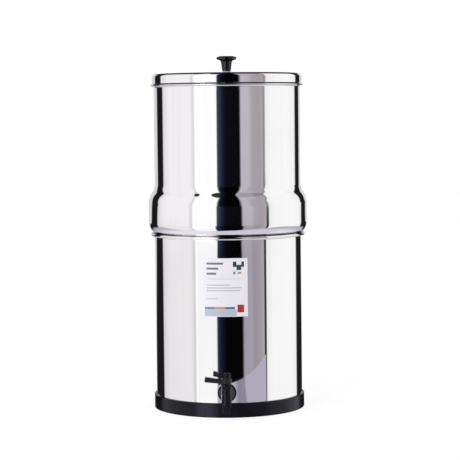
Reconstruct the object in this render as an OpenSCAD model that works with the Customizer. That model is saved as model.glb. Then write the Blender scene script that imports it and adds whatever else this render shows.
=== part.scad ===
// Gravity water filter: two stacked stainless chambers with ceramic candles between them,
// a pressed lid and a turning plug tap. Millimetres, +Z up.
// The origin is the centre of the base ring's underside, and the tap faces -Y.

/* [Lower chamber] */
// Outer diameter of the lower chamber's wall
lower_d = 216; // [204:1:240]
// Height of the lower chamber, from its floor to the top of its rolled rim
lower_h = 256.5; // [220:0.5:300]
// Thickness of the stainless sheet of both chambers
sheet = 0.8; // [0.6:0.1:1.4]
// Outer radius of the rolled curl round the lower rim
curl_r = 3.2; // [2.8:0.1:3.8]
// Outer radius of the corner between a chamber's wall and its floor
corner_r = 8; // [6:0.5:9]

/* [Upper chamber] */
// How much smaller the upper chamber's wall radius is than the lower chamber's
upper_inset = 0.6; // [0:0.1:2]
// Height from the joint of the chambers to the top of the upper rim
upper_h = 213.8; // [200:0.2:260]
// How far the bulge stands out beyond the lower chamber's wall
bulge_out = 8.6; // [7.6:0.2:11]
// Height of the bulge's straight band
bulge_band = 25; // [10:1:35]
// Radius of the curve under the bulge
bulge_curve = 20; // [17:1:24]
// Radius of the curve over the bulge
shoulder_curve = 30; // [20:1:32]
// Slope of the shoulder, in degrees from upright
shoulder_slope = 33; // [24:1:35]
// Radius of the hollow between the shoulder and the wall above it
neck_curve = 20; // [8:1:22]
// Depth to which the upper chamber nests in the lower one
nest_depth = 18; // [16:1:28]
// Radial gap between the nested wall and the lower chamber
nest_gap = 1.6; // [0.8:0.1:2.4]
// Radius of the fillet between the nested wall and the bulge
nest_fillet = 3; // [2:0.5:4]
// Gap at the seat of the upper chamber on the lower curl
seat_gap = 0.3; // [0.2:0.05:0.6]
// Outer radius of the flare that turns the upper wall out into its rim flange
flare_r = 2.2; // [1.4:0.1:3.6]
// How far the rim flange and the lid's flange stand out beyond the upper wall
rim_out = 5; // [4:0.1:7]

/* [Base ring] */
// Height of the base ring
ring_h = 20.8; // [16:0.2:26]
// Thickness of the base ring's upright wall
ring_wall = 3; // [2:0.5:5]
// Thickness of the foot under the chamber's floor
ring_foot = 4; // [3:0.5:6]
// Width of the foot that carries the floor, inwards from the chamber's wall
foot_w = 16; // [12:1:30]
// Rounding of the base ring's edges
ring_round = 1.2; // [0.6:0.1:1.5]

/* [Lid] */
// Thickness of the lid's sheet
lid_sheet = 0.6; // [0.5:0.1:0.9]
// Height of the lid above the upper rim
lid_h = 17.4; // [15:0.2:26]
// How far the lid's wall stands out beyond the upper chamber's wall
lid_out = 2.6; // [1.4:0.2:3]
// Gap between the lid's flange and the rim flange
lid_gap = 0.15; // [0.05:0.05:0.4]
// Outer radius of the lid's corner
lid_corner = 5.5; // [4:0.5:10.5]
// Radius of the fillet between the lid's wall and its flange
lid_fillet = 1; // [0.5:0.1:1.4]
// Depth of the lid's locating skirt
skirt_h = 8; // [5:0.5:12]
// Radial gap between the skirt and the upper chamber
skirt_gap = 1; // [0.5:0.1:2]

/* [Lid knob] */
// Diameter of the knob's top disc
knob_d = 29.2; // [26:0.2:30]
// Diameter of the knob's neck
knob_neck_d = 15.2; // [14:0.2:16]
// Diameter of the knob's foot
knob_foot_d = 12.8; // [12:0.2:16]
// Height of the knob
knob_h = 21.8; // [20:0.2:30]
// Thickness of the knob's disc at its edge
knob_edge = 3.6; // [2:0.2:5]
// Radius of the hollow between the neck and the disc
knob_flare = 8; // [7.8:0.2:10]
// Height of the cone between the disc's edge and the knob's flat top
knob_crown = 1.2; // [0.4:0.1:3]
// Diameter of the knob's flat top
knob_top_d = 17.6; // [12:0.2:24]
// Diameter of the spacer between the knob and the lid
spacer_d = 12.4; // [11:0.2:16]
// Thickness of that spacer
spacer_t = 3.7; // [1:0.1:5]
// Diameter of the knob's screw
screw_d = 5; // [4:0.5:6]
// Length of screw thread inside the knob
screw_bite = 11; // [8:0.5:13]
// Diameter of the screw's pan head
screw_head_d = 9.5; // [8:0.5:12]
// Height of the screw's pan head
screw_head_h = 3.2; // [2.4:0.2:4]
// Diameter of the washer under the screw's head
washer_d = 12; // [12:0.5:16]
// Thickness of that washer
washer_t = 1; // [0.6:0.1:1.6]

/* [Candles] */
// Distance between the candles' centres, and between the blanking plugs'
candle_pitch = 100; // [90:1:112]
// Diameter of a candle's ceramic shell
candle_d = 50; // [40:1:54]
// Height of a candle's ceramic shell
candle_h = 160; // [120:1:172]
// Wall thickness of the ceramic shell
candle_wall = 7; // [4:0.5:9]
// Gap round the candle in its mount, for the glue, and round its core
candle_fit = 0.2; // [0.1:0.05:0.4]
// Wall thickness of the candle's plastic mount
mount_wall = 2; // [1.5:0.5:3]
// Thickness of the mount's floor
mount_floor = 6; // [4:0.5:8]
// Depth of the cup that holds the ceramic shell
mount_cup = 8; // [5:0.5:12]
// Diameter of the threaded stems
stem_d = 12; // [10:0.5:14]
// Diameter of the water channel through a candle's stem
channel_d = 5; // [3:0.5:6]
// Length by which a stem passes its nut
stem_end = 6; // [2:0.5:10]
// Diameter of the candles' gaskets
candle_gasket_d = 30; // [24:1:40]
// Thickness of the gaskets on the chamber's floor
floor_gasket_t = 3; // [1.5:0.5:4]
// Diameter of a wing nut's hub
hub_d = 20; // [19:0.5:24]
// Height of a wing nut's hub
hub_h = 10; // [8:0.5:14]
// Span of a wing nut's wings
wing_span = 44; // [34:1:48]
// Height of the wings at their tips
wing_h = 14; // [12:0.5:18]
// Thickness of the wings
wing_t = 3; // [2:0.5:4]
// Diameter of a blanking plug's head
plug_head_d = 26; // [22:1:32]
// Height of a blanking plug's head
plug_head_h = 4; // [3:0.5:8]
// Width across the flats of a blanking plug's nut
plug_nut_af = 22; // [20:0.5:26]
// Height of that nut
plug_nut_h = 8; // [6:0.5:12]
// Clearance round the stems in the chamber's floor
hole_clear = 0.4; // [0.2:0.1:0.6]
// Radial clearance between a stem and its nut
thread_fit = 0.05; // [0.02:0.01:0.1]

/* [Tap] */
// Distance from the chamber's wall to the tap's upright axis
tap_reach = 26; // [24:0.5:34]
// Diameter of the gaskets on both sides of the wall
tap_gasket_d = 27; // [26:0.5:32]
// Thickness of those gaskets at their centre
tap_gasket_t = 3; // [2.5:0.1:4]
// Clear wall between the base ring and the outer gasket
gasket_rise = 1.7; // [1:0.1:6]
// Diameter of the tap's flange
flange_d = 22.5; // [20:0.5:25]
// Thickness of the tap's flange
flange_t = 3.5; // [2.5:0.5:4.5]
// Diameter of the stem between flange and barrel
tap_stem_d = 12; // [10.5:0.5:13]
// Diameter of the threaded shank through the wall
shank_d = 15.5; // [14:0.5:17]
// Length by which the shank passes its nut
shank_end = 4; // [2:0.5:8]
// Width across the flats of the tap's back nut
back_nut_af = 24; // [22:0.5:26]
// Thickness of the back nut
back_nut_t = 8; // [6:0.5:10]
// Diameter of the waterway through the shank
inlet_d = 6; // [4.5:0.5:6.5]
// Largest diameter of the barrel, at its foot
barrel_d = 14.8; // [14:0.1:16]
// Diameter of the barrel under its collar
barrel_neck_d = 13.6; // [12.4:0.1:14]
// Diameter of the collar and of the plug's cap
collar_d = 15; // [14.2:0.1:16]
// Height of the collar
collar_h = 3.6; // [3.4:0.1:5]
// Height of the barrel's top above the inlet's axis
tap_rise = 17; // [16.5:0.5:24]
// Depth of the spout's end below the inlet's axis
tap_drop = 25.5; // [23:0.5:27]
// Outer diameter of the spout's end
spout_d = 11.4; // [10:0.1:12]
// Height of the spout's taper
spout_taper = 12; // [8:0.5:13]
// Diameter of the spout's waterway
spout_bore_d = 7.2; // [6.6:0.1:8]
// Diameter of the turning plug
plug_d = 9.2; // [9:0.1:9.6]
// Radial clearance of the plug in the barrel
plug_fit = 0.05; // [0.02:0.01:0.09]
// Depth of the plug below the inlet's axis
plug_drop = 10; // [8:0.5:11]
// Diameter of the waterway inside the plug, and of its side port
port_d = 5.4; // [4.5:0.1:6]
// Height of the plug's cap
cap_h = 7; // [6.5:0.1:9]
// Rounding of the cap's top edge
cap_round = 1.2; // [0.5:0.1:2]
// Running gap under the cap
cap_gap = 0.3; // [0.2:0.05:0.6]
// Distance from the tap's axis to the lever's tip
lever_l = 31; // [26:0.5:38]
// Thickness of the lever
lever_t = 5.7; // [4.6:0.1:6.4]
// Width of the lever at the cap
lever_root_w = 7; // [6:0.5:9]
// Width of the lever at its tip
lever_tip_w = 9; // [8:0.5:12]
// Rise of the lever towards its tip, in degrees
lever_rise = 8.5; // [0:0.5:10]
// Angle through which the tap turns from closed to open
tap_turn = 90; // [80:1:95]

/* [Front label] */
// Width of the label round the wall
label_w = 62; // [40:1:90]
// Height of the label
label_h = 83.4; // [50:0.2:110]
// Height of the label's lower edge above the base ring's underside
label_z = 144.9; // [90:0.1:146]
// Thickness of the label
label_t = 0.25; // [0.1:0.05:0.4]
// Thickness of the glue under the label
label_glue = 0.05; // [0.02:0.01:0.1]

/* [Hidden] */
$fn = 160;
EPS = 0.01;

// Radii and heights of the chambers
lower_r = lower_d / 2;
upper_r = lower_r - upper_inset;
bulge_r = lower_r + bulge_out;
nest_r = lower_r - sheet - nest_gap;
floor_z = ring_foot;
joint_z = floor_z + lower_h;
rim_z = joint_z + upper_h;
lower_curl_r = lower_r - sheet + curl_r;
curl_end = -120;
flare_z = rim_z - sheet - flare_r;

// The bulge's lower curve rests on the lower curl, a seat gap away from it
seat_r = bulge_r - bulge_curve;
seat_reach = bulge_curve + curl_r + seat_gap;
seat_z = joint_z - curl_r + sqrt(pow(seat_reach, 2) - pow(lower_curl_r - seat_r, 2));
fillet_r = nest_r + nest_fillet;
fillet_z = seat_z - sqrt(pow(bulge_curve + nest_fillet, 2) - pow(fillet_r - seat_r, 2));
fillet_angle = atan2(fillet_z - seat_z, fillet_r - seat_r);
nest_z = joint_z - nest_depth;

// Shoulder: a convex arc, a straight slope and a concave arc
shoulder_z = seat_z + bulge_band;
slope_in = bulge_r - upper_r - (shoulder_curve + neck_curve) * (1 - cos(shoulder_slope));
neck_z = shoulder_z + (shoulder_curve + neck_curve) * sin(shoulder_slope)
    + slope_in / tan(shoulder_slope);

// Lid: the flange is the sheet folded back on itself
hem_t = 2 * lid_sheet;
hem_z = rim_z + lid_gap;
lid_r = upper_r + lid_out;
lid_z = rim_z + lid_h;
flange_r = upper_r + rim_out;
skirt_r = upper_r - sheet - skirt_gap;

// Knob and its screw
knob_z = lid_z + spacer_t;
disc_z = knob_z + knob_h - knob_crown - knob_edge;
neck_r = knob_neck_d / 2;
trumpet_sweep = acos((neck_r + knob_flare - knob_d / 2) / knob_flare);
trumpet_z = disc_z - knob_flare * sin(trumpet_sweep);
knob_round = 0.8;
screw_clear = 0.25;
thread_end_gap = 1;
drive_depth_share = 0.55;

// Candles, from the upper chamber's floor upwards
deck_z = nest_z + sheet;
mount_z = deck_z + floor_gasket_t;
mount_d = candle_d + 2 * candle_fit + 2 * mount_wall;
shell_z = mount_z + mount_floor;
hole_d = stem_d + 2 * hole_clear;
candle_x = candle_pitch / 2;
core_r = candle_d / 2 - candle_wall - candle_fit;
core_h = candle_h - candle_d / 2;
tip_rib = 2.2;

// Tap: the outer gasket stands just above the base ring
tap_z = ring_h + gasket_rise + tap_gasket_d / 2;
tap_y = -(lower_r + tap_reach);
gasket_face = lower_r + tap_gasket_t;
inner_face = lower_r - sheet - tap_gasket_t;
shank_in = inner_face - back_nut_t - shank_end;
bore_r = plug_d / 2 + plug_fit;
barrel_top = tap_z + tap_rise;
plug_z = tap_z - plug_drop;
cap_z = barrel_top + cap_gap;
snap_out = 0.3;
snap_z = tap_z + 10;
snap_h = 2;
lug_angle = -50;
lug_half = 15;
lug_clear = 2;
lug_h = 2.8;
notch_h = lug_h + 0.4;
dimple_d = 2.4;
dimple_z = tap_z + 4;
shank_clear = 0.4;
// Depth to which the lever's root lies in the cap
lever_bite = 1.3;

// Largest distance between an arc and its chords, and the coarsest step of an arc
ARC_ERROR = 0.08;
ARC_STEP = 30;

// ---- Profile helpers -------------------------------------------------------------------------

// Points on a circle about [x, z] from angle a0 to angle a1
function arc(x, z, r, a0, a1) =
    let (
        step = r > 2 * ARC_ERROR ? min(ARC_STEP, 2 * acos(1 - ARC_ERROR / r)) : ARC_STEP,
        n = max(2, ceil(abs(a1 - a0) / step))
    )
    [for (i = [0 : n]) let (a = a0 + (a1 - a0) * i / n) [x + r * cos(a), z + r * sin(a)]];

function unit(v) = v / norm(v);
function left_of(v) = [-v.y, v.x];

// The path moved to its left by t, with mitred corners
function offset_left(path, t) =
    let (last = len(path) - 1)
    [for (i = [0 : last])
        let (
            before = left_of(unit(path[max(i, 1)] - path[max(i, 1) - 1])),
            after = left_of(unit(path[min(i, last - 1) + 1] - path[min(i, last - 1)])),
            mitre = unit(before + after)
        )
        path[i] + mitre * t / (mitre * before)];

// The path without points that lie on the one before
function distinct(path) =
    [for (i = [0 : len(path) - 1]) if (i == 0 || norm(path[i] - path[max(i, 1) - 1]) > EPS) path[i]];

function reversed(path) = [for (i = [len(path) - 1 : -1 : 0]) path[i]];

// A sheet of the given thickness spun round the Z axis, its outer face on the path
module spun(path, thickness) {
    outer = distinct(path);
    rotate_extrude() polygon(concat(outer, reversed(offset_left(outer, thickness))));
}

// A rolled rim: the wall's outer face goes on as the inside of the curl
function rim_curl(top_z) = arc(lower_curl_r, top_z - curl_r, curl_r - sheet, 180, curl_end);

// A wedge of a cylinder between two angles
module wedge(r, h, from, to) {
    rotate([0, 0, from]) rotate_extrude(angle = to - from) square([r, h]);
}

// A cylinder along -Y from y = -near to y = -far, at the height of the tap's inlet
module tap_run(d, near, far) {
    translate([0, -near, tap_z]) rotate([90, 0, 0]) cylinder(d = d, h = far - near);
}

module hex_prism(af, h) {
    cylinder(d = af / cos(30), h = h, $fn = 6);
}

module washer(outer_d, inner_d, h) {
    difference() {
        cylinder(d = outer_d, h = h);
        translate([0, 0, -EPS]) cylinder(d = inner_d, h = h + 2 * EPS);
    }
}

// ---- Base and lower chamber ------------------------------------------------------------------

module base_ring() {
    outer_r = lower_r + ring_wall;
    color("#1b1a1f") rotate_extrude() polygon(concat(
        [[lower_r - foot_w, 0]],
        arc(outer_r - ring_round, ring_round, ring_round, -90, 0),
        arc(outer_r - ring_round, ring_h - ring_round, ring_round, 0, 90),
        [[lower_r, ring_h]],
        arc(lower_r - corner_r, floor_z + corner_r, corner_r, 0, -90),
        [[lower_r - foot_w, floor_z]]
    ));
}

module lower_chamber() {
    color("#d8d6da") difference() {
        spun(concat(
            [[0, floor_z]],
            arc(lower_r - corner_r, floor_z + corner_r, corner_r, -90, 0),
            rim_curl(joint_z)
        ), sheet);
        tap_run(shank_d + 2 * shank_clear, lower_r - tap_reach, lower_r + tap_reach);
    }
}

module front_label() {
    sweep = label_w / lower_r * 180 / PI;
    color("#eceaf2") rotate([0, 0, -90 - sweep / 2]) rotate_extrude(angle = sweep)
        translate([lower_r + label_glue, label_z]) square([label_t, label_h]);
}

// ---- Tap -------------------------------------------------------------------------------------

// The barrel's outline, from the spout's end up to the collar
module barrel() {
    translate([0, tap_y, 0]) rotate_extrude() polygon([
        [0, tap_z - tap_drop],
        [spout_d / 2, tap_z - tap_drop],
        [barrel_d / 2, tap_z - tap_drop + spout_taper],
        [barrel_neck_d / 2, barrel_top - 2 * collar_h],
        [collar_d / 2, barrel_top - collar_h],
        [collar_d / 2, barrel_top],
        [0, barrel_top]
    ]);
}

// What the barrel is hollowed by: the plug's bore with its snap groove, and the spout
module barrel_bores() {
    translate([0, tap_y, 0]) {
        translate([0, 0, plug_z]) cylinder(r = bore_r, h = barrel_top - plug_z + EPS);
        translate([0, 0, snap_z]) cylinder(r = bore_r + snap_out, h = snap_h);
        translate([0, 0, tap_z - tap_drop - EPS]) cylinder(d = spout_bore_d, h = tap_drop);
        translate([0, 0, barrel_top - notch_h])
            wedge(collar_d, notch_h + EPS,
                lug_angle - lug_half - lug_clear, lug_angle + tap_turn + lug_half + lug_clear);
    }
}

module tap_body() {
    color("#232227") difference() {
        union() {
            barrel();
            tap_run(tap_stem_d, gasket_face, -tap_y);
            tap_run(flange_d, gasket_face, gasket_face + flange_t);
            tap_run(shank_d, shank_in, gasket_face + EPS);
        }
        barrel_bores();
        tap_run(inlet_d, shank_in - EPS, -tap_y);
        translate([0, tap_y - barrel_d / 2 + dimple_d / 4, dimple_z])
            rotate([90, 0, 0]) cylinder(d = dimple_d, h = dimple_d);
    }
}

// The lever seen from above, from the cap's rim outwards: it widens towards a blunt rounded tip
module lever_outline() {
    tip_round = lever_tip_w / 4;
    tip_x = collar_d / 2 - lever_l;
    polygon(concat(
        [[lever_bite, -lever_root_w / 2], [lever_bite, lever_root_w / 2]],
        arc(tip_x + tip_round, lever_tip_w / 2 - tip_round, tip_round, 90, 180),
        arc(tip_x + tip_round, -lever_tip_w / 2 + tip_round, tip_round, 180, 270)
    ));
}

// The hollow key turns in the barrel; its side port meets the inlet when the lever faces forwards
module tap_plug() {
    color("#26252a") translate([0, tap_y, 0]) difference() {
        union() {
            translate([0, 0, plug_z + cap_gap]) cylinder(d = plug_d, h = cap_z - plug_z);
            translate([0, 0, snap_z + plug_fit])
                cylinder(r = plug_d / 2 + snap_out, h = snap_h - 2 * plug_fit);
            translate([0, 0, cap_z]) rotate_extrude() polygon(concat(
                [[0, 0], [collar_d / 2, 0]],
                arc(collar_d / 2 - cap_round, cap_h - cap_round, cap_round, 0, 90),
                [[0, cap_h]]
            ));
            translate([-collar_d / 2, 0, cap_z]) rotate([0, lever_rise, 0])
                linear_extrude(lever_t) lever_outline();
            translate([0, 0, cap_z - lug_h]) difference() {
                wedge(collar_d / 2, lug_h + EPS, lug_angle - lug_half, lug_angle + lug_half);
                translate([0, 0, -EPS]) cylinder(d = plug_d, h = lug_h);
            }
        }
        translate([0, 0, plug_z]) cylinder(d = port_d, h = tap_z - plug_z + port_d);
        translate([0, 0, tap_z]) rotate([0, 90, 0]) cylinder(d = port_d, h = plug_d);
    }
}

module tap_outer_gasket() {
    color("#111013") difference() {
        tap_run(tap_gasket_d, lower_r - tap_gasket_t, gasket_face);
        cylinder(r = lower_r, h = 2 * tap_z);
        tap_run(shank_d + 2 * thread_fit, 0, gasket_face + EPS);
    }
}

module tap_inner_gasket() {
    color("#111013") difference() {
        intersection() {
            tap_run(tap_gasket_d, inner_face, lower_r);
            cylinder(r = lower_r - sheet, h = 2 * tap_z);
        }
        tap_run(shank_d + 2 * thread_fit, 0, lower_r + EPS);
    }
}

module tap_back_nut() {
    color("#232227") difference() {
        translate([0, -inner_face, tap_z]) rotate([-90, 0, 0]) hex_prism(back_nut_af, back_nut_t);
        tap_run(shank_d + 2 * thread_fit, 0, lower_r);
    }
}

// ---- Upper chamber and what its floor carries ------------------------------------------------

module candle_sites() {
    for (side = [-1, 1]) translate([side * candle_x, 0, 0]) children();
}

module plug_sites() {
    for (side = [-1, 1]) translate([0, side * candle_x, 0]) children();
}

module upper_chamber() {
    color("#d8d6da") difference() {
        spun(concat(
            [[0, nest_z]],
            arc(nest_r - corner_r, nest_z + corner_r, corner_r, -90, 0),
            arc(fillet_r, fillet_z, nest_fillet, 180, 180 + fillet_angle),
            arc(seat_r, seat_z, bulge_curve, fillet_angle, 0),
            arc(bulge_r - shoulder_curve, shoulder_z, shoulder_curve, 0, shoulder_slope),
            arc(upper_r + neck_curve, neck_z, neck_curve, 180 + shoulder_slope, 180),
            arc(upper_r + flare_r, flare_z, flare_r, 180, 90),
            [[flange_r, rim_z - sheet]]
        ), sheet);
        candle_sites() translate([0, 0, nest_z - EPS]) cylinder(d = hole_d, h = sheet + 2 * EPS);
        plug_sites() translate([0, 0, nest_z - EPS]) cylinder(d = hole_d, h = sheet + 2 * EPS);
    }
}

// Ceramic shell: a tube closed by a dome of the same wall
module candle_shell() {
    outer_r = candle_d / 2;
    inner_r = outer_r - candle_wall;
    dome_z = candle_h - outer_r;
    color("#ece8de") translate([0, 0, shell_z]) rotate_extrude() polygon(concat(
        [[outer_r, 0]],
        arc(0, dome_z, outer_r, 0, 90),
        arc(0, dome_z, inner_r, 90, 0),
        [[inner_r, 0]]
    ));
}

module candle_core() {
    color("#2b2b2d") translate([0, 0, shell_z]) cylinder(r = core_r, h = core_h);
}

module candle_mount() {
    nut_z = nest_z - hub_h - stem_end;
    cup_r = candle_d / 2 + candle_fit;
    color("#e6e6e4") difference() {
        union() {
            translate([0, 0, mount_z]) cylinder(d = mount_d, h = mount_floor + mount_cup);
            translate([0, 0, nut_z]) cylinder(d = stem_d, h = mount_z - nut_z + EPS);
        }
        translate([0, 0, shell_z]) cylinder(r = cup_r, h = mount_cup + EPS);
        translate([0, 0, nut_z - EPS]) cylinder(d = channel_d, h = shell_z - nut_z + 2 * EPS);
    }
}

module candle_gasket() {
    color("#c9c7c2") translate([0, 0, deck_z])
        washer(candle_gasket_d, stem_d + 2 * thread_fit, floor_gasket_t);
}

// Hub with two wings that widen towards their tips
module wing_nut() {
    top = nest_z;
    color("#e6e6e4") difference() {
        union() {
            translate([0, 0, top - hub_h]) cylinder(d = hub_d, h = hub_h);
            rotate([90, 0, 0]) translate([0, 0, -wing_t / 2]) linear_extrude(wing_t) polygon([
                [-hub_d / 4, top - tip_rib], [-wing_span / 2 + tip_rib, top - tip_rib],
                [-wing_span / 2, top - 2 * tip_rib], [-wing_span / 2, top - wing_h],
                [-wing_span / 2 + 2 * tip_rib, top - wing_h], [-hub_d / 4, top - hub_h],
                [hub_d / 4, top - hub_h], [wing_span / 2 - 2 * tip_rib, top - wing_h],
                [wing_span / 2, top - wing_h], [wing_span / 2, top - 2 * tip_rib],
                [wing_span / 2 - tip_rib, top - tip_rib], [hub_d / 4, top - tip_rib]
            ]);
        }
        translate([0, 0, top - hub_h - EPS]) cylinder(r = stem_d / 2 + thread_fit, h = hub_h + 2 * EPS);
    }
}

module blanking_plugs() {
    length = floor_gasket_t + sheet + plug_nut_h + stem_end;
    color("#3a3a3e") plug_sites() {
        translate([0, 0, mount_z]) cylinder(d = plug_head_d, h = plug_head_h);
        translate([0, 0, mount_z - length]) cylinder(d = stem_d, h = length + EPS);
    }
}

module plug_gaskets() {
    color("#c9c7c2") plug_sites() translate([0, 0, deck_z])
        washer(plug_head_d, stem_d + 2 * thread_fit, floor_gasket_t);
}

module plug_nuts() {
    color("#3a3a3e") plug_sites() difference() {
        translate([0, 0, nest_z - plug_nut_h]) hex_prism(plug_nut_af, plug_nut_h);
        translate([0, 0, nest_z - plug_nut_h - EPS])
            cylinder(r = stem_d / 2 + thread_fit, h = plug_nut_h + 2 * EPS);
    }
}

// ---- Lid -------------------------------------------------------------------------------------

// Pressed cap; at its foot the sheet folds out and back and turns down as the locating skirt
module lid() {
    inner_r = lid_r - lid_sheet;
    corner_x = lid_r - lid_corner;
    corner_z = lid_z - lid_corner;
    hem_top = hem_z + hem_t;
    color("#d8d6da") difference() {
        rotate_extrude() polygon(concat(
            [[0, lid_z]],
            arc(corner_x, corner_z, lid_corner, 90, 0),
            arc(lid_r + lid_fillet, hem_top + lid_fillet, lid_fillet, 180, 270),
            arc(flange_r - lid_sheet, hem_z + lid_sheet, lid_sheet, 90, -90),
            [[skirt_r, hem_z], [skirt_r, rim_z - skirt_h], [skirt_r - lid_sheet, rim_z - skirt_h],
                [skirt_r - lid_sheet, hem_z + lid_sheet], [inner_r, hem_z + lid_sheet]],
            arc(corner_x, corner_z, lid_corner - lid_sheet, 0, 90),
            [[0, lid_z - lid_sheet]]
        ));
        translate([0, 0, lid_z - lid_sheet - EPS])
            cylinder(d = screw_d + 2 * screw_clear, h = lid_sheet + 2 * EPS);
    }
}

module lid_knob() {
    r = knob_d / 2;
    color("#101013") difference() {
        rotate_extrude() polygon(concat(
            [[0, knob_z], [knob_foot_d / 2, knob_z]],
            arc(neck_r + knob_flare, trumpet_z, knob_flare, 180, 180 - trumpet_sweep),
            arc(r - knob_round, disc_z + knob_edge - knob_round, knob_round, 0, 60),
            [[knob_top_d / 2, disc_z + knob_edge + knob_crown], [0, disc_z + knob_edge + knob_crown]]
        ));
        translate([0, 0, knob_z - EPS]) cylinder(r = screw_d / 2 + thread_fit, h = screw_bite + thread_end_gap);
    }
}

module knob_spacer() {
    color("#9a9a9e") translate([0, 0, lid_z]) washer(spacer_d, screw_d + 2 * screw_clear, spacer_t);
}

module knob_lock_washer() {
    color("#b4b4b8") translate([0, 0, lid_z - lid_sheet - washer_t])
        washer(washer_d, screw_d + 2 * screw_clear, washer_t);
}

module knob_screw() {
    head_z = lid_z - lid_sheet - washer_t - screw_head_h;
    length = knob_z + screw_bite - head_z;
    drive_h = screw_head_h * drive_depth_share;
    color("#b4b4b8") translate([0, 0, head_z]) difference() {
        union() {
            cylinder(d = screw_head_d, h = screw_head_h);
            cylinder(d = screw_d, h = length);
        }
        translate([0, 0, -EPS]) for (turn = [0, 90]) rotate([0, 0, turn])
            translate([-screw_d / 2, -screw_d / 10, 0]) cube([screw_d, screw_d / 5, drive_h]);
    }
}

// ---- Nodes -----------------------------------------------------------------------------------

module at_left() { translate([-candle_x, 0, 0]) children(); }
module at_right() { translate([candle_x, 0, 0]) children(); }

base_ring();
lower_chamber();
front_label();
tap_body();
tap_plug();
tap_outer_gasket();
tap_inner_gasket();
tap_back_nut();
upper_chamber();
at_left() candle_shell();  // left_candle_shell
at_left() candle_core();  // left_candle_core
at_left() candle_mount();  // left_candle_mount
at_left() candle_gasket();  // left_candle_gasket
at_left() wing_nut();  // left_wing_nut
at_right() candle_shell();  // right_candle_shell
at_right() candle_core();  // right_candle_core
at_right() candle_mount();  // right_candle_mount
at_right() candle_gasket();  // right_candle_gasket
at_right() wing_nut();  // right_wing_nut
blanking_plugs();
plug_gaskets();
plug_nuts();
lid();
lid_knob();
knob_spacer();
knob_screw();
knob_lock_washer();
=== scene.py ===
"""Looks of a gravity water filter with tap, dressed over its CAD frame.

Sizes are in millimetres and become metres where a mesh is made. +Z is up and the tap faces -Y.
"""

import logging
import math
from contextlib import contextmanager
from dataclasses import dataclass
from enum import Enum
from typing import Any, Iterable, Iterator

import bmesh
import bpy
from mathutils import Matrix, Vector


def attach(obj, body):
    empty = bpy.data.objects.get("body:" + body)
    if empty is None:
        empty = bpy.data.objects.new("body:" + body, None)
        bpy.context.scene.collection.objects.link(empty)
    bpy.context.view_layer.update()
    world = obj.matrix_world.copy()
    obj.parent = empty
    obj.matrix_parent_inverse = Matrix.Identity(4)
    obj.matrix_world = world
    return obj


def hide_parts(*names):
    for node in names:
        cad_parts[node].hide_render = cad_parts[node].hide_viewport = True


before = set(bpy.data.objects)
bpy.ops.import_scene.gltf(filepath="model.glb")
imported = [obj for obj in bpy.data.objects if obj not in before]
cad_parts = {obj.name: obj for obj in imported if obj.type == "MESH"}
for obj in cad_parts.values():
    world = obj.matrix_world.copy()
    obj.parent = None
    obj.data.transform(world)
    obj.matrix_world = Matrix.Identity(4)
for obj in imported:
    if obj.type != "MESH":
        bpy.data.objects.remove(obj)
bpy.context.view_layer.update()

LOG = logging.getLogger("filter")
MM = 0.001
MERGE = 1e-6  # metres within which vertices are one
DEGREES = 180 / math.pi
FIT = 0.05  # clearance of a ring on its stem, and of the key in the barrel
OVERSHOOT = 5.0  # how far a cutting tool reaches past what it cuts

Point = tuple[float, float]
Path = list[Point]
Place = tuple[float, float, float]
Colour = tuple[float, float, float, float]
Ramp = tuple[float, float]
Span = tuple[float, float, float, float]


class Body(Enum):
    """The moving bodies of the frame."""

    BASE = "base"
    KEY = "tap_key"
    UPPER = "upper"
    LID = "lid_group"


class Turn(Enum):
    """The direction of the axis that a profile is spun round."""

    UPRIGHT = (0.0, 0.0, 1.0)
    LEVEL = (0.0, 1.0, 0.0)


class Join(Enum):
    """What a tool does to the piece that it is combined with."""

    CUT = "DIFFERENCE"
    FUSE = "UNION"
    TRIM = "INTERSECT"


# ---- Shader maths ----------------------------------------------------------------------------


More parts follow.
